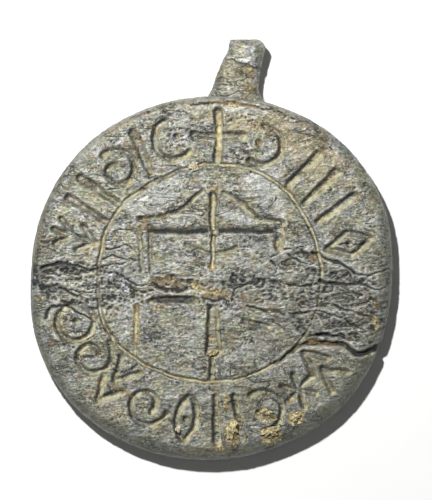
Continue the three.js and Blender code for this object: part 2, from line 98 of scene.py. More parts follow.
def flakes(x, y, seed):
    """One random point in each unit square. Returns the random level of the nearest point, and how much
    farther away the second nearest is, which is 0 along the border between two flakes."""
    points = np.random.default_rng(seed).random((LATTICE, LATTICE, 3))
    column, row = np.floor(x).astype(int), np.floor(y).astype(int)
    nearest, second, level = np.full(x.shape, 9.0), np.full(x.shape, 9.0), np.zeros(x.shape)
    for i, j in np.ndindex(3, 3):
        near_column, near_row = column + i - 1, row + j - 1
        across, along, own_level = np.moveaxis(points[near_column % LATTICE, near_row % LATTICE], -1, 0)
        distance = np.hypot(near_column + across - x, near_row + along - y)
        closer = distance < nearest
        second = np.where(closer, nearest, np.minimum(second, distance))
        level = np.where(closer, own_level, level)
        nearest = np.where(closer, distance, nearest)
    return level, second - nearest


print("noise at (1.5, 2.5):", round(float(uneven(1.5, 2.5)), 4))

# %% [markdown]
# ## The disc's face as a grid
#
# A disc can be meshed as rings and spokes, but the spokes crowd together in the middle and gape at the rim,
# and engraving needs the same fineness everywhere. So a square grid is bent into the disc: each square
# frame of the grid becomes a circle. The cells stay about 0.1 mm across, fine enough for the walls of the
# cuts.
#
# The outline isn't a true circle. It swells and draws in by up to half a millimetre, as cast discs do, and
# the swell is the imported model's.

# %% Disc sizes and its grid
DISC_RADIUS = 18.5
OUTLINE_SWELL = np.array(
    [-0.24, 0.38, 0.48, 0.13, -0.17, -0.22, -0.12, -0.22, -0.32, 0.28, 0.38, 0.1, -0.15, -0.22, 0.03, -0.17]
)  # every 22.5 degrees from +X
INSET = 0.05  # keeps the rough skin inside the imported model's facets
FACE_HEIGHT = 4.4
EDGE_WIDTH = 1.3
EDGE_DROP = 1.4
EDGE_WEAR = 0.35  # the share by which the worn edge is wider on one side, and narrower on the other
WEAR_BEARING = -50  # degrees from +X to the wider side
LIP = 0.3  # the grid ends this far inside the outline, and the rim's rings take over
FACE_CELLS = 272


def smooth_run(a, b, c, d, t):
    """A cubic blend from b to c, at the share t of the way. It leaves b in the direction from a to c, and
    reaches c in the direction from b to d."""
    return b + 0.5 * t * (c - a + t * (2 * a - 5 * b + 4 * c - d + t * (3 * (b - c) + d - a)))


def round_the_circle(values, angle):
    """A smooth closed run through evenly spaced values, by the four that lie round the angle."""
    place = (angle / (2 * np.pi) % 1) * len(values)
    first = np.floor(place).astype(int)
    t = place - first
    return smooth_run(*(values[(first + k) % len(values)] for k in (-1, 0, 1, 2)), t)


def outline(bearing):
    """The outline's radius at a bearing in radians: the mean radius plus the swell, less the inset."""
    return DISC_RADIUS + round_the_circle(OUTLINE_SWELL, bearing) - INSET


def bent_square(cells):
    """Square (a, b) from -1 to 1 to a disc: the radius is the larger of |a| and |b|, and the bearing is an
    eighth of a turn times the smaller over the larger, counted from the larger one's axis."""
    line = np.linspace(-1, 1, cells + 1)
    a, b = np.meshgrid(line, line)
    along_x = np.abs(a) >= np.abs(b)
    larger = np.where(along_x, a, b)
    smaller = np.where(along_x, b, a)
    slant = np.pi / 4 * smaller / np.where(larger == 0, 1, larger)
    bearing = np.where(along_x, slant, np.pi / 2 - slant) + np.where(larger < 0, np.pi, 0)
    return np.abs(larger), bearing


def edge_width(bearing):
    """The worn edge's width: the mean width, more on the side that has worn most and less on the other."""
    return EDGE_WIDTH * (1 + EDGE_WEAR * np.cos(bearing - math.radians(WEAR_BEARING)))


share, bearing = bent_square(FACE_CELLS)
radius = share * (outline(bearing) - LIP)
face_x, face_y = radius * np.cos(bearing), radius * np.sin(bearing)
from_outline = outline(bearing) - radius
print("face grid:", face_x.shape, "points,", round(np.pi**0.5 * DISC_RADIUS / FACE_CELLS, 3), "mm apart")

# %% [markdown]
# ## Cuts of the graver
#
# A graver leaves a groove with steep walls, a narrow floor and a slight burr along its edges. Each groove
# here is a course of points with a width at each. What shapes the face is the distance from every point of
# the grid to the nearest groove's edge, negative inside. Taking the nearest one lets grooves cross and
# merge as real cuts do. Modelling the cuts with boolean solids would give knife-sharp edges, and a hand-cut
# matrix has none left.

# %% Courses of grooves
STROKE = 0.75  # width of the common stroke
CURVE_STEPS = 8  # straight spans from one point of a smooth course to the next
ARC_STEP = 12  # degrees of an arc to one straight span


def course(points, width=STROKE, end_width=None):
    """A groove's course: x, y and width at each point. The width runs evenly from end to end."""
    widths = np.linspace(width, end_width or width, len(points))
    return np.column_stack([np.array(points, float), widths])


def bend(centre, start_radius, start, end, end_radius=None):
    """A course along an arc between two angles in degrees. It curls in where the radius changes."""
    count = int(abs(end - start) / ARC_STEP) + 2
    angle = np.radians(np.linspace(start, end, count))
    radii = np.linspace(start_radius, end_radius or start_radius, count)
    return course(np.column_stack([centre[0] + radii * np.cos(angle), centre[1] + radii * np.sin(angle)]))


def curve(points, width, end_width=None):
    """A smooth course through the points, by the cubic blend of smooth_run() with the ends doubled."""
    p = np.array([points[0], *points, points[-1]], float)
    t = np.linspace(0, 1, CURVE_STEPS, endpoint=False)[:, None]
    spans = [smooth_run(*four, t) for four in zip(p, p[1:], p[2:], p[3:])]
    return course(np.vstack([*spans, p[-1:]]), width, end_width)


def paired(courses):
    """The courses and their mirror images, left to right."""
    return courses + [one * (-1, 1, 1) for one in courses]


def placed(one, turn, shift=(0, 0)):
    """A course turned about the origin, in degrees, and then shifted."""
    c, s = math.cos(math.radians(turn)), math.sin(math.radians(turn))
    x, y, width = one.T
    return np.column_stack([c * x - s * y + shift[0], s * x + c * y + shift[1], width])


def edge_distance(x, y, courses):
    """The distance to the nearest groove's edge, negative inside. For each straight span it is the distance
    to the span's middle line, less half the width at the nearest point of that line."""
    nearest = np.full(x.shape, 9.0)
    for one in courses:
        for (x0, y0, w0), (x1, y1, w1) in zip(one, one[1:]):
            dx, dy = x1 - x0, y1 - y0
            t = np.clip(((x - x0) * dx + (y - y0) * dy) / max(dx * dx + dy * dy, 1e-9), 0, 1)
            across = np.hypot(x - x0 - t * dx, y - y0 - t * dy) - (w0 + t * (w1 - w0)) / 2
            nearest = np.minimum(nearest, across)
    return nearest


# %% [markdown]
# ## The border
#
# The band between the ring and the worn edge holds plain traditional ornaments: wedges, crescents, curls,
# an annulet, a leaf, chevrons, a sprig, a star and a lozenge, and a small cross at the top. They stand
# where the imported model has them, drawn upright about their own middle and then carried round the disc.

# %% Ornaments of the border
RING_RADIUS, RING_WIDTH = 11.05, 0.45
BORDER_INSIDE = RING_RADIUS + RING_WIDTH / 2 + 0.5
BORDER_OUTSIDE = DISC_RADIUS - EDGE_WIDTH - 0.5
BORDER_RADIUS = (BORDER_INSIDE + BORDER_OUTSIDE) / 2
HALF = (BORDER_OUTSIDE - BORDER_INSIDE) / 2  # half an ornament's height
SPREAD = 1.35  # half an ornament's width
TRIM = 0.22  # the round end of a groove reaches past its last point, so the last point stands back
PELLET = [course([(0, 0), (0, 0.01)])]
UPRIGHT = course([(0, TRIM - HALF), (0, HALF - TRIM)])

ORNAMENTS = {
    "wedge": [course([(0, TRIM - HALF), (0, HALF - 1.5 * TRIM)], STROKE, 1.45 * STROKE)],
    "crescent": [bend((0.2 * HALF, 0), 0.8 * HALF, 75, 285), PELLET[0] + (0.35 * HALF, 0, 0)],
    "curl": [bend((0, 0), 0.9 * HALF, 95, -295, 0.28 * HALF)],
    "annulet": [bend((0, 0), 0.75 * HALF, 0, 345)] + PELLET,
    "leaf": paired([bend((-0.9 * HALF, 0), 1.3 * HALF, -44, 44)]) + PELLET,
    "chevrons": paired([course([(SPREAD - 0.1, foot + 0.1), (0, foot + HALF - 0.1)]) for foot in (-HALF, 0)]),
    "sprig": paired(
        [course([(SPREAD - 0.1, rise * HALF), (0, (rise - 0.6) * HALF)]) for rise in (-0.2, 0.7)]
    ) + [UPRIGHT],
    "star": [placed(course([(0, -0.7 * HALF), (0, 0.7 * HALF)]), turn) for turn in (30, 90, 150)],
    "lozenge": paired([course([(0, end * (HALF - TRIM)), (SPREAD - 0.2, 0)]) for end in (-1, 1)]) + PELLET,
}
BORDER = [
    ("lozenge", 14, 0), ("wedge", 29, 6), ("wedge", 39.5, 4), ("wedge", 49.5, -4), ("crescent", 67, 180),
    ("crescent", 107, 20), ("wedge", 119, -6), ("curl", 131, 0), ("wedge", 142, 4), ("wedge", 151, -3),
    ("sprig", 163, 0), ("annulet", 198, 0), ("curl", 213, 180), ("chevrons", 227, 0), ("curl", 243, 90),
    ("leaf", 260, 0), ("wedge", 272, 0), ("wedge", 281, 0), ("crescent", 293, 0), ("star", 308, 10),
    ("chevrons", 321, 180),
]  # kind, bearing and turn in degrees

border_courses = [
    placed(placed(one, turn, (0, BORDER_RADIUS)), ornament_bearing - 90)
    for kind, ornament_bearing, turn in BORDER
    for one in ORNAMENTS[kind]
]
CROSS_X, CROSS_SPAN = 0.75, 2.3
cross_arm = course([(0, 0), (CROSS_SPAN, 0)], 0.75, 1.2)
cross_courses = [placed(cross_arm, turn, (CROSS_X, BORDER_RADIUS)) for turn in (0, 90, 180, 270)]
print("border:", len(BORDER), "ornaments,", len(border_courses), "grooves")

# %% [markdown]
# ## The device
#
# Inside the ring stands an upright under a roof with hollow sides, like a tent's. Its arms end in posts, a
# shallow cup hangs below, a bold bar is broken in the middle, and a wider stem stands on a narrow tail. The
# fields under the roof are sunk and bend down to the bar, and just above it they darken, by their slope
# and by painted shade.

# %% Courses of the device
RING_CENTRE = (-0.2, 0.4)
RING_STRAY = np.array([0.2, 0.05, 0.35, -0.1, -0.35, 0.1, 0.0, 0.6, -0.1, -0.3, 0.0, 0.35])
ROOF_LEFT = [(-0.8, 8.8), (-1.7, 8.0), (-2.8, 7.0), (-3.97, 6.45), (-5.3, 6.1), (-7.2, 5.95)]
ROOF_RIGHT = [(1.3, 8.7), (2.1, 8.2), (3.07, 7.55), (4.5, 6.3), (5.4, 5.8), (6.9, 5.75)]
BAR_TOP, FIELD_BEND = 4.5, 1.1  # the fields' lower wall, and how far above it their floor bends down

device_courses = [
    course([(0.2, 8.3), (0.2, 4.9)], 0.95),
    curve(ROOF_LEFT, 0.5, 0.75),
    curve(ROOF_RIGHT, 0.55),
    course([(6.8, 5.4), (6.8, 3.0)], 1.15, 1.0),
    course([(-7.4, -2.7), (-7.65, -7.7)], 0.5, 0.38),
    curve([(-6.2, -2.35), (-5.4, -2.15), (-3.0, -2.1), (-1.6, -2.25)], 0.6, 0.95),
    course([(0.2, -3.3), (0.2, -7.2)], 1.3, 1.7),
    course([(0.1, -8.2), (0.05, -10.1)], 0.75),
    course([(3.2, -4.3), (5.7, -4.9)], 0.55, 0.7),
    course([(3.6, -3.0), (7.5, -3.4)], 0.35, 0.45),
]
hairline_courses = [
    course([(0.2, 4.2), (0.2, 1.1)], 0.55),
    course([(-7.05, 5.0), (-7.0, 0.6)], 0.42),
    course([(-6.1, 5.2), (-6.05, 0.5)], 0.46),
    curve([(-2.6, 3.4), (-1.1, 2.82), (0.2, 2.5), (1.4, 2.6), (2.5, 3.1)], 0.46),
    course([(-5.9, 0.3), (-1.7, 0.1)], 0.3),
]


def roof_fields(x, y):
    """How deep the fields under the roof are cut, as a share: 0 outside and 0.2 under the roof. From
    FIELD_BEND above the bar it grows with the square of the way down, to 1. The roof's height over x is a
    straight interpolation between its points."""
    left_x, left_y = np.array(ROOF_LEFT[::-1]).T
    right_x, right_y = np.array(ROOF_RIGHT).T
    roof = np.where(x < 0, np.interp(x, left_x, left_y), np.interp(x, right_x, right_y))
    beside_stem = smooth_step(0.45, 0.7, np.abs(x - 0.2))
    sides = beside_stem * smooth_step(-6.3, -6.0, x) * (1 - smooth_step(6.1, 6.4, x))
    inside = smooth_step(0.2, 0.4, roof - y) * smooth_step(-0.1, 0.1, y - BAR_TOP)
    bent_down = 0.2 + 0.8 * np.clip(1 - (y - BAR_TOP) / FIELD_BEND, 0, 1) ** 2
    return inside * sides * bent_down


def ring_distance(x, y):
    """The distance from the hand-cut ring's edge: how far the radius about the ring's centre is from the
    ring's own radius there, less half the ring's width."""
    dx, dy = x - RING_CENTRE[0], y - RING_CENTRE[1]
    own_radius = RING_RADIUS + round_the_circle(RING_STRAY, np.arctan2(dy, dx))
    return np.abs(np.hypot(dx, dy) - own_radius) - RING_WIDTH / 2


print("device:", len(device_courses) + len(hairline_courses), "grooves and two sunk fields")

# %% [markdown]
# ## Splits, cracks and flaking
#
# A split runs in from the notch in the right of the rim. Smaller cracks cross the middle, where the metal
# is brittle and its skin has broken away in thin layers. Cracks are narrow courses whose line is shaken by
# noise. Lost layers leave terraces, like the contour lines of a map: a smooth noise, stretched from left to
# right, is rounded down to steps of one layer each.

# %% Courses of the cracks, and where the skin is broken
SPLIT = [
    (17.9, -6.6), (16.6, -7), (15.4, -7.55), (14.5, -7.5), (13.4, -6.7), (11.7, -6.5), (9.8, -6.5), (8.5, -7),
    (7.2, -8), (6, -8.6),
]
CRACKS = {
    0.42: [
        [(-16.9, 1), (-15.6, 1.5), (-14.3, 1.5), (-13.2, 1.1), (-12.2, 0.65)],
        [(-16.6, -3.9), (-16.1, -3.1), (-15.3, -2.75), (-14.4, -2.8), (-13.2, -3.4), (-12, -4.1)],
        [(10.2, 2.5), (11.7, 1.9), (13, 1.35), (14.3, 0.65), (15.6, 0.2)],
        [(11, -0.25), (12.3, -0.55), (13.7, -0.65), (15.4, -0.6)],
        [(9.9, -5.8), (11, -5.6), (12.4, -5.7), (13.3, -6.05)],
    ],
    0.24: [
        [(-12.2, 0.65), (-11.4, 1), (-9.9, 1.4), (-8.6, 1.45)],
        [(-10.8, 2), (-9.8, 2.25), (-8.9, 2), (-7.6, 1.8)],
        [(-10.4, 3), (-9.4, 2.9), (-8.5, 3.25), (-7.5, 2.85)],
        [(-15.1, -0.9), (-14.3, -1.45), (-13.4, -1.75), (-12.6, -1.5), (-11.2, -1.4)],
        [(-8.4, -0.1), (-7.6, -0.55), (-6.7, -0.8), (-6.1, -0.35)],
        [
            (-0.7, -2.1), (0.3, -2.35), (1, -2.15), (2, -2.2), (2.3, -1.2),
            (3.1, -0.8), (4.9, -0.2), (7, 0.4), (8.1, 0.45),
        ],
        [
            (3.6, -2.85), (5.6, -3.35), (7.8, -3.55), (10.4, -3.35),
            (11.7, -3.5), (13, -4), (14.2, -4.65), (15.5, -5.3),
        ],
        [(12.3, -2.75), (13.5, -3.1), (14.8, -3.5), (16, -3.85)],
        [(7.6, -0.6), (8.7, -0.75), (9.7, -0.7), (10.9, -0.4)],
        [(6.1, 2), (7, 2.7), (8, 3), (9.6, 3.3)],
        [(7.6, 2.4), (8.6, 1.8), (9.3, 1.5), (10.3, 1.3)],
        [(6, 1.6), (6.6, 1.1), (6.1, 0.2)],
        [(15.6, 0.2), (16.8, 0.6), (17.9, 0.85)],
        [(15.4, -0.6), (16.6, -1.1), (17.5, -0.9)],
        [(-2.1, 17.35), (0.3, 17.55), (2.8, 17.5), (4.8, 17.15), (6.7, 16.65), (8.4, 16)],
        [(-7.3, -8.6), (-9, -9.4), (-10.6, -8.8)],
        [(12.7, 3.4), (14.4, 3.3), (16, 3.65)],
    ],
}  # width: courses
BROKEN = [
    (-12.6, -0.7, 6, 2.2, -3), (-3.8, -0.6, 2.8, 0.9, -2), (3.7, -1.5, 4.8, 1.7, 2),
    (12.6, -2.7, 5.3, 4, -10), (8.6, 1.6, 2.3, 1.2, 15),
]  # stretches, as places of blotch()


def blotch(x, y, place):
    """1 in the middle of an ellipse, falling to 0 about its ragged edge. A place is the ellipse's x, y, half
    length, half width and turn in degrees."""
    centre_x, centre_y, long, wide, turn = place
    c, s = math.cos(math.radians(turn)), math.sin(math.radians(turn))
    along = ((x - centre_x) * c + (y - centre_y) * s) / long
    across = ((y - centre_y) * c - (x - centre_x) * s) / wide
    ragged = 0.3 * layered(x * 0.6, y * 0.9, seed=11, layers=3)
    ragged = ragged + 0.15 * layered(x * 2, y * 3, seed=15, layers=2)
    return 1 - smooth_step(0.65, 1.1, np.hypot(along, across) + ragged)


def blotches(x, y, places):
    """The strongest of several blotches at each point."""
    return np.max([blotch(x, y, place) for place in places], axis=0)


broken = blotches(face_x, face_y, BROKEN)
print("broken skin covers", round(100 * float(broken.mean())), "% of the face")

# %% [markdown]
# ## The face, layer by layer
#
# The relief is a height over each point of the grid, built up as the object's own history went: the cast
# surface, the cuts, the breaks and cracks, and at last the fine wrinkles of the corroded skin. A hand
# shakes, so the grid's own coordinates are shaken a little before the cuts are measured.

# %% Relief of the face
UNDULATION = 0.1
CUT_DEPTH, WALL = 0.5, 0.34  # a wall is how far a groove takes from its edge to its floor
FINE_DEPTH, FINE_WALL = 0.4, 0.22  # the ring and the hairlines
FIELD_DEPTH = 0.6  # at the foot of the sunk fields
SPLIT_WIDTH, SPLIT_END_WIDTH, SPLIT_DEPTH, SPLIT_WALL = 0.9, 0.35, 0.75, 0.3
CRACK_DEPTH, CRACK_WALL = 0.4, 0.12
LAYER = 0.16  # thickness of one lost layer
LEAST_LOST, MOST_LOST = 0.05, 0.7
SEAM_DEPTH = 0.05  # between two flakes
BURR = 0.035
WRINKLE_DEPTH, GRAIN_HEIGHT, PIT_DEPTH = 0.07, 0.028, 0.05
HAND_SHAKE, CRACK_SHAKE = 0.13, 0.2
HEADROOM = 0.05  # how far the skin may rise above the face's plane


def groove_depth(distance, wall=WALL):
    """The share of the full depth: 0 outside, 1 on the floor, with an S-shaped wall between."""
    return smooth_step(0.02, -wall, distance)


shake_x = HAND_SHAKE * layered(face_x * 0.55, face_y * 0.55, seed=21, layers=3)
shake_y = HAND_SHAKE * layered(face_x * 0.55, face_y * 0.55, seed=25, layers=3)
hand_x, hand_y = face_x + shake_x, face_y + shake_y
bold = edge_distance(hand_x, hand_y, border_courses + cross_courses + device_courses)
fine = np.minimum(edge_distance(hand_x, hand_y, hairline_courses), ring_distance(hand_x, hand_y))
fields = roof_fields(hand_x, hand_y)

jitter_x = CRACK_SHAKE * layered(face_x * 0.8, face_y * 0.8, seed=31, layers=3)
jitter_y = CRACK_SHAKE * layered(face_x * 0.8, face_y * 0.8, seed=36, layers=3)
crack_x, crack_y = face_x + jitter_x, face_y + jitter_y
split_course = curve(SPLIT, SPLIT_WIDTH, SPLIT_END_WIDTH)
split = edge_distance(crack_x, crack_y, [split_course])
cracks = np.min(
    [edge_distance(crack_x, crack_y, [curve(points, width, width / 2) for points in group])
     for width, group in CRACKS.items()],
    axis=0,
)
print("cuts measured; deepest point inside a groove:", round(-float(bold.min()), 2), "mm from its edge")

# %% Relief: the sum of the layers
undulation = UNDULATION * layered(face_x * 0.16, face_y * 0.16, seed=41, layers=3) - UNDULATION
worn = np.clip(1 - from_outline / edge_width(bearing), 0, 1)
edge_fall = EDGE_DROP * (1 - np.sqrt(1 - worn**2))

sturdy = 1 - 0.55 * broken * smooth_step(-0.2, 0.4, layered(face_x * 0.7, face_y * 0.9, seed=44, layers=2))
cut = CUT_DEPTH * sturdy * groove_depth(bold)
cut = np.maximum(cut, FINE_DEPTH * sturdy * (1 - 0.4 * broken) * groove_depth(fine, FINE_WALL))
cut = np.maximum(cut, FIELD_DEPTH * fields)
nearest_cut = np.minimum(bold, fine)
ragged_burr = 0.6 + 0.8 * uneven(face_x * 1.7, face_y * 1.7, seed=46)
burr = BURR * np.exp(-(((nearest_cut - 0.12) / 0.1) ** 2)) * ragged_burr

strata_x = face_x + 0.5 * layered(face_x * 0.5, face_y * 0.7, seed=51, layers=3)
strata_y = face_y + 0.35 * layered(face_x * 0.5, face_y * 0.9, seed=54, layers=4, fading=0.6)
strata = 3.2 * layered(strata_x * 0.2, strata_y * 0.55, seed=57, layers=4, fading=0.55)
terrace = np.floor(strata) + smooth_step(0.3, 0.42, strata % 1)
chip, chip_border = flakes(strata_x * 1.6, strata_y * 3.6, seed=58)
layers_lost = broken * np.clip(0.28 + LAYER * terrace + 0.06 * chip, LEAST_LOST, MOST_LOST)
layers_lost = layers_lost + 0.12 * LAYER * (1 - broken) * terrace
seams = SEAM_DEPTH * broken * (1 - smooth_step(0, 0.15, chip_border))
crack_depth = SPLIT_DEPTH * groove_depth(split, SPLIT_WALL) + CRACK_DEPTH * groove_depth(cracks, CRACK_WALL)
print("layers lost: up to", round(float(layers_lost.max()), 2), "mm")

# %% Relief: the skin's own wrinkles
smooth_field = smooth_step(0.05, 0.3, fields)
drift_x = face_x + 0.3 * layered(face_x * 0.5, face_y * 0.8, seed=61, layers=2)
drift_y = face_y + 0.25 * layered(face_x * 0.6, face_y * 0.8, seed=63, layers=3)
ripple = 1 - np.abs(layered(drift_x * 0.5, drift_y * 1.9, seed=65, layers=2, fading=0.5))
patchy = smooth_step(-0.2, 0.5, layered(face_x * 0.45, face_y * 0.6, seed=67, layers=2))
wrinkles = WRINKLE_DEPTH * smooth_step(0.9, 1.0, ripple) * patchy * (1 - smooth_field)
grain = GRAIN_HEIGHT * layered(drift_x * 1.3, drift_y * 2.6, seed=71, layers=3, fading=0.8)
pits = PIT_DEPTH * smooth_step(0.6, 0.8, layered(face_x * 1.6, face_y * 2.6, seed=74, layers=2))
skin = (grain - wrinkles - pits) * (1 + 0.5 * broken) * (1 - 0.6 * smooth_step(0.15, 0.7, worn))

relief = undulation - edge_fall - cut + burr * (1 - broken) - layers_lost - seams - crack_depth + skin
face_z = np.minimum(FACE_HEIGHT + relief, FACE_HEIGHT + HEADROOM)
print("face height from", round(float(face_z.min()), 2), "to", round(float(face_z.max()), 2), "mm")

# %% [markdown]
# ## What the relief says about the finish
#
# Dirt stays in hollows and handling polishes what stands out, so both masks can be read off the relief
# itself: a point's height is compared with the mean height round it. Painted light goes into them too:
# painted shade on the cut walls that face away from the lamp, beside the bright lines and in the sunk fields
# above the bar, and painted highlight along the bar's lower lip and on the rim's top. Earth sits on the
# floors of the cuts, and in a few patches; its film on the walls that face the lamp is a painted highlight.
# The rim's side away from the lamp gets painted shade, and bared metal gets painted glints. These masks go
# with the mesh as point attributes, and the material mixes its colours by them, so the finish follows the
# shape exactly and from every side.

# %% Masks of the face
def softened(field, rounds):
    """Each value becomes the mean of itself and its four neighbours, so many times over."""
    for _ in range(rounds):
        padded = np.pad(field, 1, mode="edge")
        field = (field + padded[:-2, 1:-1] + padded[2:, 1:-1] + padded[1:-1, :-2] + padded[1:-1, 2:]) / 5
    return field


def rise_towards(field, toward):
    """The slope of a field in one direction. The differences along the grid's rows and columns are turned
    into slopes along x and y by the inverse of the grid's own two-by-two table of differences."""
    field_b, field_a = np.gradient(field)
    x_b, x_a = np.gradient(face_x)
    y_b, y_a = np.gradient(face_y)
    area = x_a * y_b - x_b * y_a
    slope_x, slope_y = (field_a * y_b - field_b * y_a) / area, (field_b * x_a - field_a * x_b) / area
    return slope_x * math.cos(toward) + slope_y * math.sin(toward)


# Walls facing this way, toward the lamp, get earth film as painted highlight; the others painted shade.
LIT_WALL_BEARING = math.radians(145)  # the lit walls face this way
EARTH_PATCHES = [
    (0.15, -7.5, 0.6, 0.35, 0), (0.4, -1.5, 1.9, 0.55, -4), (-1.4, -0.9, 0.9, 0.45, -35),
    (0.3, 8.9, 1, 0.4, 0), (0.1, 1.1, 0.6, 0.4, 0), (-5.2, -2.95, 1.1, 0.22, 0), (2.2, 17.3, 1.5, 0.3, 0),
    (16.5, -4.5, 0.4, 0.8, 15), (0.75, 14, 0.45, 2.3, 0), (-7.4, -5, 0.25, 2.4, 3), (-17, -2, 0.5, 0.3, 0),
    (2.1, 18.6, 0.6, 0.25, 0), (0.1, -6.2, 0.3, 0.6, 0), (6.6, 3.4, 0.3, 0.5, 0), (2.1, -15.5, 1, 1.5, 0),
    (1.5, -12.6, 0.4, 1.2, 0), (5.4, -13.9, 1.2, 0.6, -15), (6, -15.8, 1.5, 0.9, 10),
    (8.5, -14, 1, 0.8, 30), (0.9, -16.9, 0.6, 0.4, 0), (15.9, -7.75, 1, 0.16, 18),
]
RUST_PATCHES = [
    (0.3, -1.75, 1.6, 0.3, -4), (3.6, 17.15, 1.4, 0.25, -8), (-4.5, 10.2, 0.5, 0.3, 20),
    (-6.6, 5.4, 0.7, 0.8, 0), (-4.4, -0.3, 2.3, 0.5, -3), (-7.6, 14.5, 0.5, 0.4, 0),
    (-12, 12.1, 0.5, 0.4, 0), (-15.5, 6.5, 0.3, 0.4, 0), (11.2, 12.8, 0.4, 0.5, 0), (13.6, 11, 0.3, 0.4, 0),
    (14.7, 8.4, 0.4, 0.3, 0), (-15.9, -6.4, 0.4, 0.45, 0), (-9, -11.2, 0.4, 1.5, 60),
    (-11.1, -10.4, 0.4, 0.3, 0), (16.6, -2.9, 0.3, 0.5, 0), (5.8, 0.9, 0.35, 0.3, 0),
    (2.2, 17.75, 0.9, 0.16, 0), (4.3, 17.5, 0.6, 0.16, -12), (-1.8, 17.5, 1.4, 0.12, 3),
    (10.3, 1.9, 0.7, 0.5, -20), (5.6, 14.4, 0.4, 0.4, 0), (-11.8, 8.3, 0.5, 0.25, 0),
    (10, -6.3, 0.9, 0.35, 0), (3.2, -1.9, 0.5, 0.5, 0), (-12.5, 2.4, 0.4, 0.3, 0),
    (-7.4, -2.9, 0.25, 0.6, 0), (12.1, -6.75, 1.6, 0.3, -8), (1.2, 17.55, 3.4, 0.2, -3),
]
RIM_SHADE_BEARING = math.radians(-102)  # the middle of the rim's painted shade, away from the lamp
# Dark patches along the crossbar, cracks and split: dirt, with painted shade.
DIRT_AND_SHADE_PATCHES = [
    (-17.6, 0.4, 0.5, 1.5, 0), (-3.8, -2.2, 2.6, 0.4, 0), (-14.6, 1.25, 1.9, 0.3, -3),
    (2.4, -16.9, 0.4, 0.6, 0), (13.1, -0.6, 1.6, 0.3, -2), (10.6, -6.5, 0.9, 0.4, 0),
]
TAN_PATCHES = [
    (9.5, 13, 6.5, 2.2, -42), (3, 16, 4, 1.6, -5), (-3.4, -0.9, 3.8, 0.9, -4), (-17, 3.5, 0.9, 2, 0),
    (10, -6.8, 3.6, 0.8, 5), (5.5, -3.1, 3.2, 0.8, -5), (-9.5, 15.6, 4, 1, 32), (-10.5, -13, 3, 1.3, -45),
    (15.5, -3, 1.4, 2.6, 10), (0.5, -17.2, 4, 0.6, 0), (-11, 3.4, 1, 0.8, 0),
]
PALE_PATCHES = [
    (-5.4, 8.3, 4, 1.9, 42), (5.4, 8.6, 3, 1.4, -40), (-3, 5.8, 2, 0.7, 15), (3, 6, 2, 0.6, -20),
    (-12.5, 13, 2, 1.5, 45), (3, 16.8, 3, 0.5, -8),
]
FILM_AND_HIGHLIGHT_LINES = [
    course([(0.28, 8.2), (0.22, 5.1)], 0.36), course([(0.22, 4.1), (0.22, 1.0)], 0.24),
    course([(0.7, -3.5), (0.8, -7)], 0.22), course([(0.85, 16.2), (0.8, 11.7)], 0.5),
    course([(-7.45, -3.6), (-7.65, -7.6)], 0.3), course([(-7.15, 4.9), (-7.1, 3)], 0.26),
    curve(np.array(ROOF_RIGHT) - (0.14, 0.16), 0.24), curve(np.array(ROOF_LEFT) - (-0.1, 0.22), 0.2, 0.26),
]  # painted highlight on the lit walls of grooves, with pale earth or bare metal
# Painted highlight: a thin bright line along the bar's lower lip.
BAR_LIPS = [course([(-5.9, 4.28), (-0.6, 4.4)], 0.16), course([(1, 4.4), (6, 4.3)], 0.16)]
GLINTS = [
    (-8.7, 0.45), (-9.1, -0.3), (-8.6, -0.75), (-8.3, -1.3), (-9.9, 0.2),
    (16.8, -6.1), (2.5, -2.7), (7.2, -3.1), (10.2, -3.2), (-17.3, 0.2),
]
FINE_ROUNDS, BROAD_ROUNDS = 5, 40  # of softening: how far round it a point's height is compared
bare_skin = relief + cut + edge_fall
fine_step = bare_skin - softened(bare_skin, FINE_ROUNDS)
broad_step = bare_skin - softened(bare_skin, BROAD_ROUNDS)
crest = np.clip((fine_step - 0.012) / 0.05, 0, 1) + 0.5 * np.clip(broad_step / 0.15, 0, 1)
crevice = np.clip(-fine_step / 0.06, 0, 1) + 0.5 * np.clip(-broad_step / 0.2, 0, 1)
clotted = smooth_step(-0.1, 0.4, layered(face_x * 0.7, face_y * 0.7, seed=81, layers=3))
inside = smooth_step(0.12, -0.06, np.minimum(bold, fine))
# Painted highlight: earth film on the cut walls that face the lamp, and thin bright lines along grooves.
tilt = rise_towards(softened(cut, 1), LIT_WALL_BEARING)
broken_film = 0.6 + 0.4 * smooth_step(-0.3, 0.2, layered(face_x * 0.8, face_y * 0.8, seed=84, layers=3))
earth_film_and_highlight = inside * smooth_step(0.3, 1.1, tilt) * broken_film
ring_line = ring_distance(hand_x - 0.04, hand_y + 0.03) + 0.12
bright_line = np.minimum(edge_distance(hand_x, hand_y, FILM_AND_HIGHLIGHT_LINES), ring_line)
on_line = smooth_step(0.05, -0.08, bright_line)
flank = inside * smooth_step(0.34, 0.1, bright_line) * (1 - on_line)
earth_film_and_highlight = np.maximum(earth_film_and_highlight * (1 - 0.7 * flank), 0.85 * on_line * broken_film * (1 - 0.5 * broken))
# Painted shade: dark on the cut walls that face away from the lamp, and beside the bright lines.
painted_shade_walls = inside * np.maximum(smooth_step(-0.2, -1.2, tilt), 0.5 * flank)
ochre_spots = blotches(face_x, face_y, EARTH_PATCHES)
earth = np.clip(0.35 * inside * clotted, 0, 0.9) * (1 - 0.5 * broken) + ochre_spots
dirt_and_shade = blotches(face_x, face_y, DIRT_AND_SHADE_PATCHES)
earth_film_and_highlight = earth_film_and_highlight * (1 - 0.6 * broken) * (1 - dirt_and_shade)
# Darkening: dirt in hollows and cracks, and painted shade on walls and in the fields above the bar.
crevice = crevice + 0.9 * painted_shade_walls + 0.8 * dirt_and_shade + 0.4 * wrinkles / WRINKLE_DEPTH
crevice = crevice + 1.1 * smooth_step(0.22, 0.7, fields)
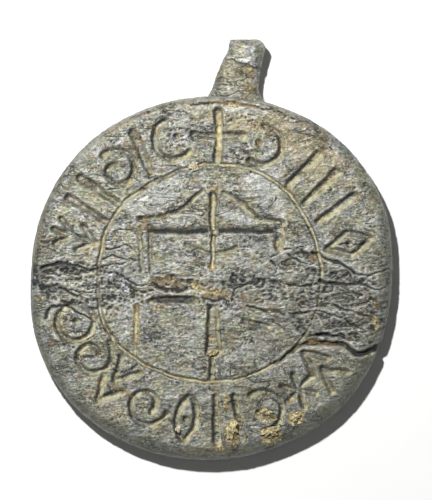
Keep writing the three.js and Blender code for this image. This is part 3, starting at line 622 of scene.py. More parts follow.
# Painted highlight along the bar's lower lip.
crest = crest * (1 - softened(dirt_and_shade, 30)) + smooth_step(0.06, -0.04, edge_distance(hand_x, hand_y, BAR_LIPS))
tan = blotches(face_x, face_y, TAN_PATCHES)
crest = crest + 0.95 * blotches(face_x, face_y, PALE_PATCHES) * (1 - inside)


def shade_round_the_rim(bearing, from_outline):
    """Painted shade on the rim's side away from the lamp: all but the upper left, and from the outline
    1 to 2 mm in, less at its ends.
    """
    share = smooth_step(-0.75, 0.3, np.cos(bearing - RIM_SHADE_BEARING))
    return smooth_step(0.6 + 2.2 * share, 0.2 + 0.8 * share, from_outline) * np.clip(1.6 * share, 0, 1)


rim_shade = shade_round_the_rim(bearing, from_outline)
rust = blotches(face_x, face_y, RUST_PATCHES)
# Bared metal with painted glints: pale spots at the listed places on the flakes.
glint = blotches(face_x, face_y, [(*spot, 0.55, 0.3, 15) for spot in GLINTS]) * smooth_step(0.3, 0.7, chip)
face_masks = {
    "crest": crest, "crevice": crevice, "earth": earth, "earth_film_and_highlight": earth_film_and_highlight, "rust": rust, "glint": glint,
    "broken": broken, "tan": tan, "rim_shade": rim_shade,
}
for mask_name, mask in face_masks.items():
    print(mask_name, "mean", round(float(mask.mean()), 3))

# %% [markdown]
# ## Rim and back
#
# The rim's rings carry the face's border round a worn edge, down a rough wall and round to the back. The
# profile is swept round the outline: a quarter ellipse, a straight wall and a quarter circle. The back is
# plain, as the sand or stone of the mould left it, and every fourth point is enough for it.

# %% Meshes out of arrays
def make_piece(name, points, face_sets, masks):
    """A mesh object whose corners are points in millimetres. Each face set is an array of corner numbers
    with one row to a face. Masks are numbers at the corners. The piece rides on the one body."""
    mesh = bpy.data.meshes.new(name)
    mesh.vertices.add(len(points))
    mesh.vertices.foreach_set("co", (points * MM).ravel())
    corners = np.concatenate([faces.ravel() for faces in face_sets])
    sizes = np.concatenate([np.full(len(faces), faces.shape[1]) for faces in face_sets])
    mesh.loops.add(len(corners))
    mesh.loops.foreach_set("vertex_index", corners)
    mesh.polygons.add(len(sizes))
    mesh.polygons.foreach_set("loop_start", np.cumsum(sizes) - sizes)
    mesh.update(calc_edges=True)
    mesh.shade_smooth()
    for mask_name, values in masks.items():
        mesh.attributes.new(mask_name, "FLOAT", "POINT").data.foreach_set("value", values.ravel())
    piece = bpy.data.objects.new(name, mesh)
    bpy.context.scene.collection.objects.link(piece)
    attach(piece, "root")
    print(name, len(points), "points,", int((sizes - 2).sum()), "triangles, valid:", not mesh.validate())
    return piece


def bands(rings):
    """Four-sided faces between neighbouring closed rings of corner numbers, one ring to a row."""
    beyond = np.roll(rings, -1, axis=1)
    return np.stack([rings[:-1], rings[1:], beyond[1:], beyond[:-1]], axis=-1).reshape(-1, 4)


# %% Points of the rim and the back
BACK_ROUND = 0.7
EDGE_RINGS, WALL_RINGS, ROUND_RINGS, BACK_RINGS = 5, 7, 4, 22
ROUGHNESS, POCK_DEPTH, NOTCH_DEPTH = 0.05, 0.16, 0.6
side = FACE_CELLS + 1
numbers = np.arange(side * side).reshape(side, side)
face_quads = np.stack([numbers[:-1, :-1], numbers[:-1, 1:], numbers[1:, 1:], numbers[1:, :-1]], -1)
face_quads = face_quads.reshape(-1, 4)
hem = np.concatenate([numbers[0, :-1], numbers[:-1, -1], numbers[-1, :0:-1], numbers[:0:-1, 0]])
hem_bearing, hem_z = bearing.ravel()[hem], face_z.ravel()[hem]

hem_width = edge_width(hem_bearing)
edge_turn = np.linspace(np.arcsin(1 - LIP / hem_width), np.full(hem.shape, np.pi / 2), EDGE_RINGS + 1)[1:]
back_turn = np.linspace(0, np.pi / 2, ROUND_RINGS + 1)[1:, None] + 0 * hem_bearing
wall = 0 * hem_bearing + np.zeros((WALL_RINGS, 1))
wall_z = wall + np.linspace(FACE_HEIGHT - EDGE_DROP, BACK_ROUND, WALL_RINGS + 1)[1:, None]
profile_in = np.concatenate([hem_width * (1 - np.sin(edge_turn)), wall, BACK_ROUND * (1 - np.cos(back_turn))])
rim_z = np.concatenate(
    [FACE_HEIGHT - EDGE_DROP * (1 - np.cos(edge_turn)), wall_z, BACK_ROUND * (1 - np.sin(back_turn))]
)
tilt_out = np.concatenate([np.sin(edge_turn), wall + 1, np.cos(back_turn)])
tilt_up = np.concatenate([np.cos(edge_turn), wall, -np.sin(back_turn)])
rim_radius = outline(hem_bearing) - profile_in
rim_x, rim_y = rim_radius * np.cos(hem_bearing), rim_radius * np.sin(hem_bearing)
roughness = ROUGHNESS * layered(rim_x * 0.9, rim_y * 0.9, rim_z * 1.6, seed=91, layers=4, fading=0.6)
pocks = POCK_DEPTH * smooth_step(0.4, 0.85, layered(rim_x * 0.8, rim_y * 0.8, rim_z * 1.2, seed=96, layers=3))
sunk = np.clip(0.06 - roughness + pocks, 0, 0.35)
hem_height = FACE_HEIGHT - EDGE_DROP * (1 - np.sqrt(1 - (1 - LIP / hem_width) ** 2))
settle = (hem_z - hem_height) * np.linspace(0.9, 0, len(rim_z))[:, None] ** 3
notch = groove_depth(edge_distance(rim_x, rim_y, [split_course]), SPLIT_WALL) * smooth_step(1.2, 2.6, rim_z)
sunk = sunk + NOTCH_DEPTH * notch
rim_radius = rim_radius - sunk * tilt_out
rim_z = np.maximum(rim_z - sunk * tilt_up + np.minimum(settle, 0), 0)
print("rim:", rim_radius.shape[0], "rings of", rim_radius.shape[1], "points")

# %% The casting's disc
back_hem = rim_radius[-1, 2::4]
back_share = np.linspace(1, 0, BACK_RINGS + 1)[1:-1, None]
back_bearing = hem_bearing[2::4]
back_radius = back_hem * back_share
back_x, back_y = back_radius * np.cos(back_bearing), back_radius * np.sin(back_bearing)
back_hollow = smooth_step(-0.6, 0.6, layered(back_x * 0.3, back_y * 0.3, seed=101, layers=4))
back_z = 0.05 * back_hollow * (1 - back_share**8)

rim_x, rim_y = rim_radius * np.cos(hem_bearing), rim_radius * np.sin(hem_bearing)
rim_points = np.stack([rim_x, rim_y, rim_z], -1).reshape(-1, 3)
back_points = np.stack([back_x, back_y, back_z], -1).reshape(-1, 3)
face_points = np.stack([face_x, face_y, face_z], -1).reshape(-1, 3)
disc_points = np.vstack([face_points, rim_points, back_points, [[0, 0, 0.02]]])

rim_rings = np.vstack([hem, side * side + np.arange(rim_radius.size).reshape(rim_radius.shape)])
back_rings = side * side + rim_radius.size + np.arange(back_radius.size).reshape(back_radius.shape)
outer, inner = rim_rings[-1], back_rings[0]
wedges = [np.stack([outer[k::4], inner, np.roll(outer, -1)[k::4]], -1) for k in range(4)]
joins = np.stack([np.roll(outer[::4], -1), inner, np.roll(inner, -1)], -1)
hub = np.stack([back_rings[-1], np.full(len(inner), len(disc_points) - 1), np.roll(back_rings[-1], -1)], -1)

beyond_face = len(rim_points) + len(back_points) + 1
# Painted highlight: the rim's top, toward the lamp, is made paler.
lit_rim_top = smooth_step(0.8, 0.97, np.cos(hem_bearing - math.radians(93)))
rim_crest = (np.clip(0.5 - sunk / 0.12, 0, 1) + 0.8 * lit_rim_top).ravel()
rim_crevice = np.clip(0.8 * sunk / 0.15 - 0.4, 0, 1).ravel()
rim_edge_shade = (shade_round_the_rim(hem_bearing, 0) + 0 * rim_x).ravel()
rim_masks = {"crest": rim_crest, "crevice": rim_crevice, "rim_shade": rim_edge_shade}
disc_masks = {}
for mask_name, mask in face_masks.items():
    past_face = np.zeros(beyond_face)
    if mask_name in rim_masks:
        past_face[: len(rim_points)] = rim_masks[mask_name]
    disc_masks[mask_name] = np.concatenate([mask.ravel(), past_face])
disc = make_piece(
    "seal_disc",
    disc_points,
    [face_quads, bands(rim_rings), *wedges, joins, bands(back_rings), hub],
    disc_masks,
)
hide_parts("seal_casting")

# %% [markdown]
# ## The lug
#
# The lug was cast with the disc: a tongue that leans to the right, spreads into the rim at its foot and
# swells at its end round the eye, a hole from side to side for the cord. It is a loft, a section carried
# along a bent axis, and the section is a squared ellipse. The swollen end was chipped, so its lower border
# is a ragged step, bright with bared metal and painted glints.

# %% Sizes of the lug
LUG_OFFSET, LUG_LEAN, LUG_BEND_END, LUG_LENGTH = 2.35, 15.5, 4.7, 5.6
FOOT_HALF, TIP_HALF, TIP_ROUND = 2.4, 1.9, 1.1
TIP_SKEW = 0.75  # the share by which the tip's left corner is less round
LUG_FILLET, LUG_ROOT = 0.9, 1.9
LUG_HALF_THICKNESS, LUG_SQUARENESS = 1.45, 0.55
HEAD_RISE = 0.4
CHIP_LINE = [(1.3, 3.55), (2.3, 3.5), (2.6, 3.15), (3.6, 3.05), (4.6, 2.65)]  # the head's border: x, along
LUG_MIDDLE = 2.05  # height of the axis
HEAD_INSET = 0.03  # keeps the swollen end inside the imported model's
HOLLOW_DEPTH, HOLLOW_PLACE = 0.1, (3.8, 20.6, 0.9, 0.7, 0)  # in the front of the shank
EYE_RADIUS = 0.7
EYE_BACK = 1.25  # from the lug's tip to the middle of the eye
EYE_REACH = 4  # half the drill's length, past the lug's sides
LUG_STEPS, TIP_STEPS, LUG_SIDES = 130, 26, 220


def lug_half_width(along):
    """A straight taper, plus a fillet at the foot that grows with the square of the way into the rim."""
    taper = FOOT_HALF + (TIP_HALF - FOOT_HALF) * np.clip(along / (LUG_LENGTH - TIP_ROUND), 0, 1)
    back = np.clip((LUG_FILLET - along) / (2 * LUG_FILLET), 0, 1)
    return taper + LUG_FILLET * back**2


def lug_section(along, half_width, half_thickness, turn, left_spare=0):
    """The squared ellipse at one place of the bent axis: each of cosine and sine to the power of
    squareness. The left half may be wider by left_spare."""
    lean = LUG_BEND_END * math.tan(math.radians(LUG_LEAN)) * np.clip(along / LUG_BEND_END, 0, 1) ** 1.5
    square_cos = np.sign(np.cos(turn)) * np.abs(np.cos(turn)) ** LUG_SQUARENESS
    square_sin = np.sign(np.sin(turn)) * np.abs(np.sin(turn)) ** LUG_SQUARENESS
    x = LUG_OFFSET + lean + (half_width + left_spare * (square_cos < 0)) * square_cos
    y = math.sqrt(DISC_RADIUS**2 - LUG_OFFSET**2) + along + 0 * turn
    return x, y, LUG_MIDDLE + half_thickness * square_sin


# %% Points of the lug
turn = np.linspace(0, 2 * np.pi, LUG_SIDES, endpoint=False)[None, :]
shank = np.linspace(-LUG_ROOT, LUG_LENGTH - TIP_ROUND, LUG_STEPS)[:, None]
tip_turn = np.linspace(0, np.pi / 2, TIP_STEPS // 2 + 1)[1:, None]
inset = np.concatenate([0 * shank, TIP_ROUND * (1 - np.cos(tip_turn))])
along = np.concatenate([shank, LUG_LENGTH - TIP_ROUND * (1 - np.sin(tip_turn))])
cap = np.linspace(1, 0.04, TIP_STEPS // 2)[1:, None]
half_width = np.concatenate([lug_half_width(along) - inset, (TIP_HALF - TIP_ROUND) * cap])
head_half_thickness = LUG_HALF_THICKNESS + HEAD_RISE - HEAD_INSET
half_thickness = np.concatenate([head_half_thickness - inset, (head_half_thickness - TIP_ROUND) * cap])
along = np.concatenate([along, np.full(cap.shape, LUG_LENGTH)])

left_spare = TIP_SKEW * np.concatenate([inset, TIP_ROUND * cap])
lug_x, lug_y, lug_z = lug_section(along, half_width, half_thickness, turn, left_spare)
chip_line = np.interp(lug_x, *zip(*CHIP_LINE)) + 0.12 * layered(lug_x * 1.4, lug_z * 0.4, seed=111, layers=3)
shank_share = 1 - smooth_step(-0.12, 0.12, along - chip_line)
lug_z = lug_z - HEAD_RISE * shank_share * np.clip(np.sin(turn) * 3, -1, 1)


def outward(points):
    """The unit normal at each point of a grid of closed rings: the cross product of the two differences."""
    down = np.gradient(points, axis=0)
    around = np.roll(points, -1, axis=1) - np.roll(points, 1, axis=1)
    normal = np.cross(down, around)
    return normal / np.maximum(np.linalg.norm(normal, axis=-1, keepdims=True), 1e-9)


lug_points = np.stack([lug_x, lug_y, lug_z], -1)
front = smooth_step(0, 0.5, lug_z - LUG_MIDDLE)
hollow = blotch(lug_x, lug_y, HOLLOW_PLACE) * front
lug_skin = 0.04 * layered(lug_x * 1.1, lug_y * 1.6, lug_z * 1.1, seed=115, layers=4, fading=0.6)
curls = 1 - np.abs(layered(lug_x * 0.8, lug_y * 2, lug_z * 0.8, seed=121, layers=2))
lug_wrinkles = 0.07 * smooth_step(0.84, 1, curls) * (0.1 + 0.9 * shank_share)
lug_sunk = np.clip(0.03 - lug_skin + lug_wrinkles + HOLLOW_DEPTH * hollow, 0, 0.5)
lug_points = lug_points - outward(lug_points) * lug_sunk[..., None]
print("lug from", lug_points.min((0, 1)).round(2), "to", lug_points.max((0, 1)).round(2), "mm")

# %% The lug and its eye
lug_rings = np.arange(lug_x.size).reshape(lug_x.shape)
lug_faces = [bands(lug_rings), lug_rings[:1], lug_rings[-1:, ::-1]]
# Bared metal with painted glints along the chipped step.
chipped_glints = [(3.3, 21.75, 0.7, 0.28, -12), (2, 22.05, 0.45, 0.13, -5), (4.1, 21.35, 0.5, 0.1, -28)]
tan_flakes = [(4.1, 19.1, 1, 0.7, -10), (1.2, 20, 0.6, 0.8, 60), (4.3, 20.6, 0.5, 1, 0)]
lug_spot = [(2.2, 18.05, 0.6, 0.22, 0)]
lug_rust = [(4, 20.5, 0.5, 0.8, 0), (3.9, 18.9, 0.8, 0.5, -20)]


def spots_on_lug(places):
    """The strongest of several blotches, on the lug's front only."""
    return blotches(lug_x, lug_y, places) * front


lug_masks = {
    "crest": np.clip(0.15 + 0.25 * shank_share - lug_sunk / 0.14, 0, 1),
    "crevice": np.clip(lug_sunk / 0.12 - 0.6, 0, 1) * (1 - hollow) + 0.4 * hollow,
    "earth": 0.35 * spots_on_lug(tan_flakes) + 0.8 * spots_on_lug(lug_spot) + 0.25 * hollow,
    "earth_film_and_highlight": 0 * lug_x,
    "rust": 0.7 * spots_on_lug(lug_rust),
    "glint": 0.65 * spots_on_lug(chipped_glints),
    "broken": 0.3 * shank_share,
    "tan": 0.25 * shank_share * front + 0.9 * hollow,
    "rim_shade": 0 * lug_x,
}
lug = make_piece("seal_lug", lug_points.reshape(-1, 3), lug_faces, lug_masks)
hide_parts("seal_casting")

EYE_SIDES, EYE_STEPS = 64, 30
eye_turn = np.linspace(0, 2 * np.pi, EYE_SIDES, endpoint=False)[None, :]
eye_along = np.linspace(-EYE_REACH, EYE_REACH, EYE_STEPS)[:, None]
eye_x, eye_y, eye_z = lug_section(LUG_LENGTH - EYE_BACK, eye_along, 0, np.zeros((1, EYE_SIDES)))
worn_out = EYE_RADIUS + 0.05 * layered(eye_x * 0.8, np.cos(eye_turn), np.sin(eye_turn), seed=131, layers=3)
eye_points = np.stack([eye_x, eye_y + worn_out * np.cos(eye_turn), eye_z - worn_out * np.sin(eye_turn)], -1)
eye_rings = np.arange(EYE_SIDES * EYE_STEPS).reshape(EYE_STEPS, EYE_SIDES)
eye_mesh = bpy.data.meshes.new("eye_cutter")
eye_faces = [*bands(eye_rings).tolist(), eye_rings[0].tolist(), eye_rings[-1, ::-1].tolist()]
eye_mesh.from_pydata((eye_points.reshape(-1, 3) * MM).tolist(), [], eye_faces)
cutter = bpy.data.objects.new("eye_cutter", eye_mesh)
bpy.context.scene.collection.objects.link(cutter)
drill = lug.modifiers.new("eye", "BOOLEAN")
drill.object, drill.operation, drill.solver = cutter, "DIFFERENCE", "EXACT"
drilled = bpy.data.meshes.new_from_object(lug.evaluated_get(bpy.context.evaluated_depsgraph_get()))
lug.modifiers.clear()
lug.data = drilled
bpy.data.objects.remove(cutter)
print("lug with its eye:", len(drilled.vertices), "points,", len(drilled.attributes), "attributes")

# %% [markdown]
# ## Crumbs of earth and grit
#
# Dried earth and two pale grains still stick to the face. Each is a lump: a squashed ball whose upper half
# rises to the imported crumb's height and whose lower half is sunk into the cut that holds it. Noise in three
# dimensions makes it knobbly. A handful of fine layers is enough, since the largest is under 3 mm long.

# %% Crumbs
CRUMBS = {
    "ring_grit_grain": (1.35, 1.05, 10, "pale_grit"),
    "border_grit_grain": (0.9, 0.7, 80, "pale_grit"),
    "stem_earth_crust": (1.4, 0.9, 10, "ochre_earth"),
    "lower_earth_crust": (2.6, 1.4, 75, "ochre_earth"),
    "inner_earth_crust": (1.6, 0.8, -15, "ochre_earth"),
    "outer_earth_crust": (2.3, 1.3, 10, "ochre_earth"),
    "side_earth_crust": (1.5, 1.1, 30, "ochre_earth"),
}  # length, width, turn in degrees and finish
CRUMB_ROWS, CRUMB_SIDES = 44, 72
ROOTED = 0.5  # how deep a crumb reaches into its cut
LUMPINESS = {"ochre_earth": 0.45, "pale_grit": 0.22}  # by finish, the share by which noise draws points in


def crumb(name, long, wide, turn_degrees, slot, seed):
    """A lump: half axes long/2, wide/2 and the height, where the lower half is ROOTED deep. Each point is
    drawn in by a share that layered noise gives at its own place, and the outline by coarser noise, into
    lobes."""
    low, high = (np.array(corner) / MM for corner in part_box(name))
    down = np.linspace(0.02, np.pi - 0.02, CRUMB_ROWS)[:, None]
    round_it = np.linspace(0, 2 * np.pi, CRUMB_SIDES, endpoint=False)[None, :]
    knob = 1 - np.clip(0.16 - LUMPINESS[slot] * layered(
        1.9 * np.sin(down) * np.cos(round_it), 1.9 * np.sin(down) * np.sin(round_it), 1.9 * np.cos(down),
        seed=seed, layers=4, fading=0.65,
    ), 0, 0.5)
    lobes = layered(1.3 * np.cos(round_it), 1.3 * np.sin(round_it), seed=seed + 50, layers=2, fading=0.4)
    lobes = np.clip(0.85 + 0.7 * lobes, 0.5, 1)
    girth = np.sin(down) ** 0.75 * knob * lobes * 0.97
    ball_x, ball_y = long / 2 * girth * np.cos(round_it), wide / 2 * girth * np.sin(round_it)
    c, s = math.cos(math.radians(turn_degrees)), math.sin(math.radians(turn_degrees))
    rise = np.cos(down) * np.where(down < np.pi / 2, high[2] - low[2], ROOTED) * knob
    middle = (low + high) / 2
    lump_x, lump_y = middle[0] + c * ball_x - s * ball_y, middle[1] + s * ball_x + c * ball_y
    points = np.stack([lump_x, lump_y, low[2] + rise], -1)
    rings = np.arange(CRUMB_ROWS * CRUMB_SIDES).reshape(CRUMB_ROWS, CRUMB_SIDES)
    lump = make_piece(
        name + "_lump", points.reshape(-1, 3), [bands(rings), rings[:1], rings[-1:, ::-1]],
        {"crevice": np.clip((0.9 - knob) * 5, 0, 1)},
    )
    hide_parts(name)
    return lump


crumbs = [crumb(name, *facts, seed=140 + 5 * k) for k, (name, facts) in enumerate(CRUMBS.items())]

# %% [markdown]
# ## Effects shared by the finishes
#
# The lead, the earth and the grit have the same things happen to them, only in other amounts: a grain too
# fine for the mesh, films of dust that gather in patches, and specks. Each is a node group with named
# sockets, built once. The groups read Object coordinates, so the pattern is fixed in the solid and has no
# seams. They put out heights and masks only, and each material decides what colour and gloss these stand
# for.

# %% Node helpers
def paint(text):
    """A colour written #rrggbb, as it is seen, in the linear numbers that shaders take."""
    seen = [int(text[k : k + 2], 16) / 255 for k in (1, 3, 5)]
    return [c / 12.92 if c <= 0.04045 else ((c + 0.055) / 1.055) ** 2.4 for c in seen] + [1.0]


def add_node(tree, kind, inputs=None, **settings):
    """One shader node. Each input, by its socket's name or number, is a value or another node's output."""
    made = tree.nodes.new(kind)
    for setting, value in settings.items():
        setattr(made, setting, value)
    for socket, value in (inputs or {}).items():
        if isinstance(value, bpy.types.NodeSocket):
            tree.links.new(value, made.inputs[socket])
        else:
            made.inputs[socket].default_value = value
    return made


def calc(tree, operation, *values):
    """One step of arithmetic on numbers or on other nodes' outputs."""
    return add_node(tree, "ShaderNodeMath", dict(enumerate(values)), operation=operation).outputs[0]


def blend(tree, share, first, second, how="MIX"):
    """The colour between two, at that share of the way."""
    sockets = {0: share, 6: first, 7: second}
    return add_node(tree, "ShaderNodeMix", sockets, data_type="RGBA", blend_type=how).outputs[2]


def ramp(tree, value, low, high):
    """Smoothly from 0 to 1 as the value goes from low to high, whichever is larger."""
    sockets = {"Value": value, "From Min": low, "From Max": high}
    return add_node(tree, "ShaderNodeMapRange", sockets, interpolation_type="SMOOTHSTEP").outputs["Result"]


def lay(tree, under, mask, strength, over, how="MIX"):
    """The colour under, with another laid over it at the share that the mask times the strength gives."""
    return blend(tree, calc(tree, "MULTIPLY", mask, strength), under, over, how)


def noise(tree, place, scale, detail=4.0, roughness=0.6, distortion=0.0):
    """Blender's own noise, about 0.5, with scale cells to each unit of place. Detail is how many finer
    layers it has, and each is roughness times as strong as the one before."""
    sockets = {
        "Vector": place, "Scale": scale, "Detail": detail, "Roughness": roughness, "Distortion": distortion,
    }
    return add_node(tree, "ShaderNodeTexNoise", sockets).outputs["Fac"]


def new_group(name, inputs, outputs):
    """An empty node group with float sockets, and one vector socket called Place."""
    group = bpy.data.node_groups.new(name, "ShaderNodeTree")
    group.interface.new_socket("Place", in_out="INPUT", socket_type="NodeSocketVector")
    for socket in inputs:
        group.interface.new_socket(socket, in_out="INPUT", socket_type="NodeSocketFloat")
    for socket in outputs:
        group.interface.new_socket(socket, in_out="OUTPUT", socket_type="NodeSocketFloat")
    return group, group.nodes.new("NodeGroupInput").outputs, group.nodes.new("NodeGroupOutput").inputs


# %% Group: grain
# Place is stretched along X by Streak. Height is a rough noise less thin dark lines, which lie where a
# second noise passes through its middle value. Cracks is the mask of these lines.
grain_group, given, result = new_group("fine_grain", ["Scale", "Streak", "Cracking"], ["Height", "Cracks"])
flat_scale = calc(grain_group, "DIVIDE", given["Scale"], given["Streak"])
scales = {"X": flat_scale, "Y": given["Scale"], "Z": given["Scale"]}
stretch = add_node(grain_group, "ShaderNodeCombineXYZ", scales)
stretched = add_node(
    grain_group, "ShaderNodeVectorMath", {0: given["Place"], 1: stretch.outputs[0]}, operation="MULTIPLY"
).outputs[0]
rough = noise(grain_group, stretched, 1.0, 2.0, 0.5)
line = noise(grain_group, stretched, 0.45, 3.0, 0.55, 0.6)
off_middle = calc(grain_group, "ABSOLUTE", calc(grain_group, "SUBTRACT", line, 0.5))
thin = ramp(grain_group, off_middle, 0.035, 0.0)
where = ramp(grain_group, noise(grain_group, stretched, 0.14, 2.0), 0.45, 0.6)
cracked = calc(grain_group, "MULTIPLY", calc(grain_group, "MULTIPLY", thin, where), given["Cracking"])
grain_group.links.new(calc(grain_group, "SUBTRACT", rough, cracked), result["Height"])
grain_group.links.new(cracked, result["Cracks"])

# %% Group: film
# A film of dust or earth. Noise about 0 is added to Cover, the share that the film covers, and what passes
# a half is covered. So the film stays patchy, and it has a ragged border however smooth the mask that
# drives Cover is.
film_group, given, result = new_group("patchy_film", ["Scale", "Cover"], ["Mask"])
patches = noise(film_group, given["Place"], given["Scale"], 4.0, 0.65)
level = calc(film_group, "MULTIPLY_ADD", patches, 3.2, calc(film_group, "SUBTRACT", given["Cover"], 1.6))
film_group.links.new(ramp(film_group, level, 0.25, 0.75), result["Mask"])

# %% Group: specks
# Small round spots about scattered points. Amount is the share of the points that have one.
speck_group, given, result = new_group("specks", ["Scale", "Amount"], ["Mask"])
sockets = {"Vector": given["Place"], "Scale": given["Scale"]}
scattered = add_node(speck_group, "ShaderNodeTexVoronoi", sockets)
chosen = add_node(speck_group, "ShaderNodeSeparateColor", {"Color": scattered.outputs["Color"]})
has_spot = calc(speck_group, "LESS_THAN", chosen.outputs["Red"], given["Amount"])
spot = ramp(speck_group, scattered.outputs["Distance"], 0.42, 0.12)
speck_group.links.new(calc(speck_group, "MULTIPLY", spot, has_spot), result["Mask"])
print("groups:", [group.name for group in bpy.data.node_groups])


def use(tree, group, place, **values):
    """A group placed in a material, with its own values. Returns its outputs."""
    return add_node(tree, "ShaderNodeGroup", {"Place": place, **values}, node_tree=group).outputs


# %% [markdown]
# ## The finishes
#
# Lead goes dull in the air: a grey skin of oxide and carbonate, partly metallic underneath. Crests are
# rubbed pale, crevices hold dark dirt, the floors of the cuts hold yellow earth, and a few spots are
# stained by rust. Painted light is laid in as well: painted highlight on crests, on the cut walls that face
# the lamp and as glints on bared metal, and painted shade on the walls that face away, on the rim's far side
# and towards the lower right. The masks from the mesh say where, and the groups break up every border, so
# no mask shows as a clean shape.

# %% Lead
def start_material(name):
    """An empty node tree with its shader, and the Object coordinates that its patterns stand on."""
    material = bpy.data.materials.new(name)
    material.use_nodes = True
    tree = material.node_tree
    tree.nodes.clear()
    shader = tree.nodes.new("ShaderNodeBsdfPrincipled")
    output = tree.nodes.new("ShaderNodeOutputMaterial")
    tree.links.new(shader.outputs[0], output.inputs["Surface"])
    return material, tree, shader, tree.nodes.new("ShaderNodeTexCoord").outputs["Object"]


def set_inputs(tree, shader, values):
    """Each value is linked if it is a node's output, and otherwise set on the shader's own socket."""
    for socket, value in values.items():
        if isinstance(value, bpy.types.NodeSocket):
            tree.links.new(value, shader.inputs[socket])
        else:
            shader.inputs[socket].default_value = value


def mask_of(tree, name):
    """A mask that the mesh carries, by its name."""
    return add_node(tree, "ShaderNodeAttribute", attribute_name=name).outputs["Fac"]


